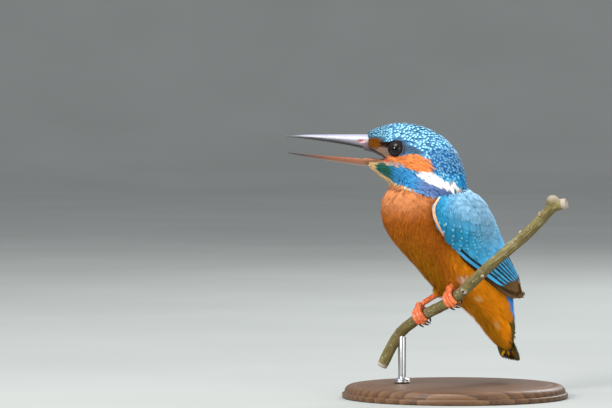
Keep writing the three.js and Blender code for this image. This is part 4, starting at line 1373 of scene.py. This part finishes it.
def flights(wing, rng):
    """The long feathers: dark primaries below, then secondaries and tertials with a bright outer web."""
    coat = Coat(f"flights_{wing.side}", "plumage_blue")
    for kind in FLIGHTS:
        count = kind["count"]
        t = np.linspace(0, 1, count)
        a, b, ends, b_tip = (
            kind[key][0] + (kind[key][1] - kind[key][0]) * t for key in ("root_a", "root_b", "tip_a", "tip_b")
        )
        ends = ends + rng.normal(0, 0.003, count)
        lines, normals = wing.lines((a, b), (ends, b_tip), kind["heights"], 12)
        lines = lines + normals * np.linspace(0, 0.4, count)[:, None, None] * np.linspace(0.4, 1, 12)[:, None]
        widths = np.full(count, kind["width"])
        webs, shafts = plumes(lines, normals, widths, rng, wing.hand, kind["inner"], 0.3, 70)
        along, across = webs[2][:, 0], webs[2][:, 1]
        outer, inner = (linear(PALETTE[name]) for name in kind["webs"])
        tones = np.where(across[:, None] < 0, outer, inner)
        # darker beside the shaft on the outer web: partly the dark shaft, partly painted shadow where the
        # next feather overlaps
        tones = tones * np.where(across < 0, 1 - 0.6 * ease(-across, 0.2, 0.0), 1)[:, None]
        tones = tones * (1 - kind["dusk"] * ease(along, 0.8, 0.5))[:, None]
        tip = ease(along, 0.93, 1.0)[:, None] * 0.6
        tones = tones * (1 - tip) + linear(PALETTE["wing_tip"]) * tip
        coat.add(webs, lines[:, 0], unspotted(tones))
        coat.add(shafts, lines[:, 0], unspotted(np.tile(linear(PALETTE["web_dark"]) * 0.6, (count, 1))))
    coat.join()


# ---------------------------------------------------------------- tail


def tail(rng):
    """Twelve tail feathers, blue above and olive below, and orange below at the middle of the tail."""
    points = points_of(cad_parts["tail"].data)
    height = points[:, 2]
    root = points[height > height.max() - 1.5].mean(0)
    end = points[height < height.min() + 1.5].mean(0)
    heading = unit(end - root)
    left = np.array([math.sin(BODY_TURN), -math.cos(BODY_TURN), 0])
    up = np.cross(left, heading)
    half = np.abs(((points - root) @ left)[height < height.min() + 8]).max()
    rank = np.arange(12) - 5.5
    out = np.abs(rank) / 5.5
    length = np.linalg.norm(end - root) + 8 - 2.2 * out**2
    t = np.linspace(0, 1, 12)[None, :, None]
    start = root - heading * 7 + left * (rank * 0.42)[:, None]
    finish = start + heading * length[:, None] + left * (rank * (half - 2.4) / 5.5 - rank * 0.42)[:, None]
    lines = start[:, None] * (1 - t) + finish[:, None] * t
    arch = 0.5 - 1.5 * out[:, None, None] ** 2 * t + 0.1 * (5.5 - np.abs(rank))[:, None, None] / 5
    lines = lines + up * (arch * t + 0.35 * np.sin(t * math.pi))
    normals = np.broadcast_to(up, lines.shape)
    black = unspotted(np.tile(linear(PALETTE["web_dark"]), (6, 1)))
    for name, width, below, nodes in (("tail", 3.6, 0, ["tail"]), ("tail_under", 4.2, 0.35, [])):
        coat = Coat(name, "plumage_blue")
        for hand in (-1, 1):
            mine = rank * hand > 0
            order = np.abs(rank[mine])
            some = lines[mine] - up * (0.1 * order + below)[:, None, None]
            widths = np.full(6, width)
            webs, shafts = plumes(some, normals[mine], widths, rng, hand, 0.75, 0.16, 60, 0.07, 0.3)
            along, across = webs[2][:, 0], webs[2][:, 1]
            tones = linear(PALETTE[name]) * (1 - 0.35 * ease(-across, 0.3, 0.0))[:, None]
            tones = tones * (1 + 0.25 * ease(along, 0.8, 0.3))[:, None]
            if below:
                wedge = ease(np.repeat(order, len(along) // 6), 4.2, 2.6) * ease(along, 0.96, 0.86)
                tones = tones + (linear(PALETTE["vent"]) * 0.8 - tones) * wedge[:, None]
            coat.add(webs, some[:, 0], unspotted(tones))
            coat.add(shafts, some[:, 0], black)
        coat.join(*nodes)


# ---------------------------------------------------------------- bill


def jaw(name, upper):
    """Half of the bill: a fine loft with a ridge, a sharp cutting edge and a hollow inside.

    Returns its points, its faces and which points line the hollow.
    """
    low, high = within(name, 0, 0, 0), within(name, 1, 1, 1)
    long, tall, half = high[0] - low[0], high[2] - low[2], (high[1] - low[1]) / 2
    middle = (low[1] + high[1]) / 2
    way = 1 if upper else -1
    shares = np.concatenate([np.linspace(0.0, 0.1, 12), np.linspace(0.13, 1.0, 70), [1.04, 1.09]])
    outer = np.linspace(-1, 1, 37)
    hollow = np.linspace(0.86, -0.86, 19)
    rings = []
    for f in shares:
        g = min(f, 1.0)
        fit = 1 - 0.12 * ease(f, 1.0, 1.08)
        wide = (0.12 + (half - 0.12) * g**0.9) * fit
        if upper:
            deep = (0.3 + (tall - 0.3) * (0.86 * g + 0.14 * g**6)) * fit
            top = high[2] - 0.25 * (1 - g) ** 2 - 0.45 * (1 - g) ** 8
        else:
            deep = (0.3 + 3.1 * g**0.85) * fit
            top = high[2] - (tall - 3.4) * g - deep + 0.2 * (1 - g) ** 8
        x = low[0] + long * f
        turn = outer * math.pi / 2
        keel = np.abs(np.sin(turn)) ** 1.2 * np.sign(turn) * (1 + 0.06 * np.sin(np.abs(turn) * 2))
        shell = [x + 0 * turn, middle + wide * keel, top - way * deep * (1 - np.cos(turn) ** 1.1)]
        roof = 0.42 * deep * np.cos(hollow * math.pi / 2) ** 0.8
        lining = [x + 0 * hollow, middle + wide * hollow, top - way * (deep - roof)]
        rings.append(np.vstack([np.stack(shell, 1), np.stack(lining, 1)]))
    points, faces = swept(rings)
    lines_hollow = np.tile(np.arange(len(outer) + len(hollow)) >= len(outer), len(shares) + 2)
    if upper:
        nostrils(points, high[0], high[2], middle)
    return points, faces, lines_hollow


def nostrils(points, base, ridge, middle):
    """Draws in a slit on each side of the ridge, close to the feathers."""
    away = np.hypot((points[:, 0] - base + 1.8) / 1.9, (points[:, 2] - ridge + 3.0) / 0.5)
    depth = 0.75 * ease(away, 1.05, 0.55)
    points[:, 1] -= np.sign(points[:, 1] - middle) * depth * (np.abs(points[:, 1] - middle) > 1)


def cutting_edge(body, upper, side):
    """The horn edge that runs from the base of the bill to the corner of the mouth."""
    base = within("bill_upper" if upper else "bill_lower", 1, 0.5, 0)
    middle, hand, way = base[1], SIDES[side], 1 if upper else -1
    behind_base = base[0] + (4.7 if upper else 4.0)
    knee = (behind_base, eye_place[side][2] + (-1.7 if upper else -4.8))
    start = (base[0] - 0.6, within("bill_upper", 0, 0, 0)[2] if upper else knee[1] + 0.2)
    corner = (eye_place[side][0] - 3.4, eye_place[side][2] - 5.2)
    path = smooth_line([start, knee, corner], 30)
    rows = []
    for x, z in path:
        far = Vector((x, middle - hand * 30, z + way * 0.5))
        spot = body.tree.ray_cast(far, Vector((0, hand, 0)), 40)[0]
        out = abs(spot[1] - middle) if spot is not None else 4.2
        rows.append((x, min(max(out, 4.0), 8.5), z))
    rows = np.array(rows)
    wide = np.convolve(np.pad(rows[:, 1], 2, "edge"), np.ones(5) / 5, "valid")
    line = np.stack([rows[:, 0], middle - hand * (wide + 0.05), rows[:, 2] + way * 0.3], 1)
    t = np.linspace(0, 1, len(line))[:, None]
    heading = unit(np.gradient(line, axis=0))
    outward = np.array([0, -hand, 0])
    rise = unit(np.cross(heading, outward))
    rings = []
    for angle in np.linspace(0, 2 * math.pi, 14, endpoint=False):
        rings.append(line + rise * (0.8 - 0.45 * t) * math.cos(angle) + outward * 0.4 * math.sin(angle))
    return swept(np.stack(rings, 1))


# colours of both halves from the tip to the base
UPPER_HORN = [(0.0, (0.03, 0.026, 0.026, 1)), (0.5, (0.065, 0.058, 0.07, 1)), (0.9, (0.15, 0.13, 0.16, 1)),
              (1.0, (0.12, 0.085, 0.09, 1))]
LOWER_HORN = [(0.0, (0.03, 0.022, 0.02, 1)), (0.25, (0.09, 0.045, 0.03, 1)), (0.55, (0.3, 0.085, 0.03, 1)),
              (0.95, (0.36, 0.12, 0.05, 1)), (1.0, (0.3, 0.13, 0.06, 1))]


def bill(body):
    """Both halves of the bill, each with the horn edges that run back over the face."""
    for upper, name, ends in ((True, "bill_upper", UPPER_HORN), (False, "bill_lower", LOWER_HORN)):
        points, faces, lines_hollow = jaw(name, upper)
        low, high = within(name, 0, 0, 0), within(name, 1, 1, 1)
        share = (points[:, 0] - low[0]) / (high[0] - low[0])
        warm = lines_hollow * ease(share, 0.35, 0.95) * 0.8
        pale = edge = 0 * share
        if upper:
            g = np.clip(share, 0, 1)
            lower_edge = high[2] - 0.3 - (high[2] - low[2] - 0.3) * (0.86 * g + 0.14 * g**6)
            rim = np.minimum(1.2, 0.5 * (high[2] - lower_edge))
            # a painted shadow along the lower edge of the upper half, darkest at the cutting edge
            edge = ease((points[:, 2] - lower_edge) / rim, 1.25, 0.8) * ease(share, 1.0, 0.95) * ~lines_hollow
            slit = np.hypot((points[:, 0] - high[0] + 1.8) / 2.0, (points[:, 2] - high[2] + 3.0) / 0.55)
            warm = np.maximum(warm, ease(slit, 1.3, 0.6) * 0.75)
            # a painted highlight on the ridge of the upper half, stronger the higher the point
            pale = ease(points[:, 2], high[2] - 3.2 * share - 0.4, high[2] - 1.0 * share)
            pale = pale * ease(share, 0.03, 0.3)
        values = np.stack([share, warm, pale, edge], 1)
        for side in SIDES:
            more, quads = cutting_edge(body, upper, side)
            faces = np.vstack([faces, quads + len(points)])
            points = np.vstack([points, more])
            # the upper half's horn edges over the face carry the painted shadow too, at 0.6
            values = np.vstack([values, np.tile([1, 0, 0, 0.6] if upper else [1, 0.1, 0, 0], (len(more), 1))])
        mesh = mesh_of(name, points, faces)
        for field, column in zip(("FromTip", "Warm", "Pale", "Edge"), values.T):
            attribute(mesh, field, "FLOAT", np.clip(column, 0, 1))
        piece(f"{name}_horn", mesh, bill_finish(name, ends), "bill_horn", name)


# ---------------------------------------------------------------- eyes and claws


def eyes():
    """Globes with a low dome over the pupil."""
    wet = eye_finish()
    tilts, sides = np.linspace(0.02, math.pi - 0.02, 56), 72
    for side in SIDES:
        out, across, rise = looking(side, 0.2, 0.06)
        rings = []
        for tilt in tilts:
            radius = eye_size * (1 + 0.035 * float(ease(tilt, 0.75, 0.2)))
            ring = circle(across, rise, sides) * math.sin(tilt) + out * math.cos(tilt)
            rings.append(eye_place[side] + ring * radius)
        mesh = mesh_of(f"eye_{side}", *swept(rings))
        attribute(mesh, "FromPupil", "FLOAT", np.repeat([tilts[0], *tilts, tilts[-1]], sides))
        piece(f"globe_{side}", mesh, wet, "eye", f"eye_{side}")


def claws():
    """The claws of each foot, rounded off finely."""
    horn = claw_finish()
    for side in SIDES:
        nodes = [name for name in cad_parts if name.startswith(f"claw_{side}")]
        points, faces = remeshed(nodes, CLAW_VOXEL, 0.03)
        mesh = mesh_of(f"claws_{side}", relaxed(points, faces, 2), faces)
        piece(f"claws_{side}", mesh, horn, "claw_horn", *nodes)


# ---------------------------------------------------------------- perch and stand


def perch():
    """The cut twig, with grained and scarred bark, a cut stub, sawn ends and buds."""
    points, faces = remeshed(["perch"], TWIG_VOXEL)
    points = relaxed(points, faces, 5)
    along = points @ unit(np.array([1.0, -0.35, 0.9]))
    bins = np.linspace(along.min(), along.max(), 34)
    which = np.clip(np.digitize(along, bins) - 1, 0, 32)
    middles = np.array([points[which == k].mean(0) for k in range(33)])
    kernel = np.array([1, 2, 1]) / 4
    core = middles.copy()
    for axis in range(3):
        core[1:-1, axis] = np.convolve(middles[:, axis], kernel, "valid")
    core = smooth_line(core, 200)
    tree = tree_of(core)
    nearest = np.array([tree.find(place)[1] for place in points])
    heading = unit(np.gradient(core, axis=0))[nearest]
    out = points - core[nearest]
    out = out - heading * (out * heading).sum(1, keepdims=True)
    radius = np.linalg.norm(out, axis=1)
    side = unit(np.cross(heading, [0, 0, 1]))
    rise = np.cross(side, heading)
    length = np.cumsum(np.append(0, np.linalg.norm(np.diff(core, axis=0), axis=1)))[nearest]
    share = length / length.max()
    middle_band = (share > 0.35) & (share < 0.62)
    stub_end = points[middle_band & (radius > np.percentile(radius[middle_band], 99.3))].mean(0)
    stub_foot = core[tree.find(stub_end)[1]]
    stub_way = unit(stub_end - stub_foot)
    beyond = (points - stub_end) @ stub_way
    from_pith = np.linalg.norm(points - stub_end - beyond[:, None] * stub_way, axis=1)
    stub_cut = ease(beyond, -0.7, -0.15) * ease(from_pith, 3.4, 2.9)
    ends = ease(length, 0.9, 0.3) + ease(length, length.max() - 0.9, length.max() - 0.3)
    cut = np.clip(stub_cut + ends, 0, 1)
    pith = stub_cut * ease(from_pith, 0.95, 0.6) + np.clip(ends, 0, 1) * ease(radius, 0.8, 0.5)
    ridge = points[:, 2].max()
    knob = points[points[:, 2] > ridge - 1.5].mean(0)
    pale = ease(np.linalg.norm(points - knob, axis=1), 4.4, 2.2)
    beside, over = (out * side).sum(1), (out * rise).sum(1)
    lines = zip(length * 0.16, 2.2 * (beside / radius.clip(0.5)), 2.2 * (over / radius.clip(0.5)))
    grain = np.array([noise.noise(Vector(place)) for place in lines])
    lumps = np.array([noise.noise(Vector(place) * 0.35) for place in points])
    scars = sum(ease(np.abs(length - at - 0.8 * beside), 0.55, 0.1) for at in (14, 31, 73, 88, 99, 110))
    normals = Bed(points, faces).normals
    shift = (0.12 * grain + 0.16 * lumps + 0.1 * scars) * (1 - cut) - 0.1 * cut - 0.35 * pith
    points = points + normals * shift[:, None]
    mesh = mesh_of("twig", points, faces)
    attribute(mesh, "Wood", "FLOAT_COLOR", np.stack([length, beside, over, cut], 1))
    attribute(mesh, "Pale", "FLOAT", np.clip(0.5 * pale + 0.15 * scars, 0, 1))
    attribute(mesh, "Pith", "FLOAT", np.clip(pith, 0, 1))
    piece("twig", mesh, bark_finish(), "bark", "perch")
    buds(core)


def buds(core):
    """Small scaly buds that lie against the twig, each at a length along it and a turn round it."""
    finish = bud_finish()
    heading = unit(np.gradient(core, axis=0))
    steps = np.cumsum(np.append(0, np.linalg.norm(np.diff(core, axis=0), axis=1)))
    grown = [(6, 2.5, 2.3), (0.9 * steps[-1], 0.6, 2.0), (73, -0.7, 1.7), (99, 2.0, 1.6)]
    for number, (at, turn, size) in enumerate(grown):
        k = int(np.searchsorted(steps, min(at, steps[-1] - 1)))
        beside = unit(np.cross(heading[k], [0, 0, 1]))
        out_way = beside * math.cos(turn) + np.cross(beside, heading[k]) * math.sin(turn)
        base = core[k] + out_way * 2.2
        axis = unit(heading[k] * 0.8 + out_way * 0.75)
        across = unit(np.cross(axis, out_way))
        rise = np.cross(across, axis)
        rings = []
        for f in np.linspace(0.02, 1, 20):
            wide = size * 0.42 * math.sin(math.pi * f**0.8) ** 0.75 * (1 + 0.08 * math.cos(f * 22)) + 0.03
            rings.append(base + axis * size * 1.25 * f + circle(across, rise, 24) * wide)
        name = f"bud_{number + 1}"
        piece(name, welded(mesh_of(name, *swept(rings))), finish, "bark")


# out from the disc's radius in millimetres, and share of its height
MOULDING = [(-1.4, 0.0), (-0.5, 0.02), (-0.1, 0.06), (0.0, 0.12), (0.0, 0.3), (-0.1, 0.36), (-0.5, 0.4),
            (-1.1, 0.41), (-1.15, 0.44), (-1.1, 0.5), (-1.25, 0.64), (-1.7, 0.78), (-2.4, 0.89),
            (-3.4, 0.97), (-4.6, 1.0), (-6.4, 1.0), (-6.7, 0.975), (-7.0, 1.0)]

# share of the collar's radius, and millimetres over its foot
COLLAR = [(0.92, 0.0), (1.0, 0.15), (1.0, 0.7), (0.97, 0.85), (0.9, 0.9), (0.9, 1.05), (0.95, 1.1),
          (0.93, 1.5), (0.8, 1.9), (0.5625, 2.05), (0.459, 2.3), (0.45, 2.8)]


def stand():
    """A turned walnut disc, and a steel rod in a collar that holds the twig up."""
    low, high = within("stand_base", 0, 0, 0), within("stand_base", 1, 1, 1)
    radius, height = (high[0] - low[0]) / 2, high[2] - low[2]
    profile = [(radius + out, height * up) for out, up in MOULDING]
    profile += [(radius * share, height) for share in (0.8, 0.6, 0.4, 0.2, 0.05)]
    upright = np.array([1, 1, 0])
    piece("base", turned(profile, (low + high) / 2 * upright, 180), wood_finish(), "base_wood", "stand_base")
    low, high = within("stand_rod", 0, 0, 0), within("stand_rod", 1, 1, 1)
    wide, thin = (high[0] - low[0]) / 2, (high[0] - low[0]) / 2 * COLLAR[-1][0]
    profile = [(wide * share, low[2] + up) for share, up in COLLAR]
    profile += [(thin, high[2] - 0.5), (thin * 0.9, high[2])]
    piece("rod", turned(profile, (low + high) / 2 * upright, 72), steel_finish(), "steel", "stand_rod")


camera()
studio()
body = body_bed()
skin(body, [wing_bed(side) for side in SIDES])
body_coat(body)
left_wing = wing_grid()
for number, wing in enumerate((Wing("left", *left_wing), Wing("right", *mirrored(*left_wing)))):
    rng = np.random.default_rng(20 + number)
    flights(wing, rng)
    coverts(wing, rng)
    wing_rim(wing, rng)
tail(np.random.default_rng(30))
bill(body)
eyes()
claws()
perch()
stand()
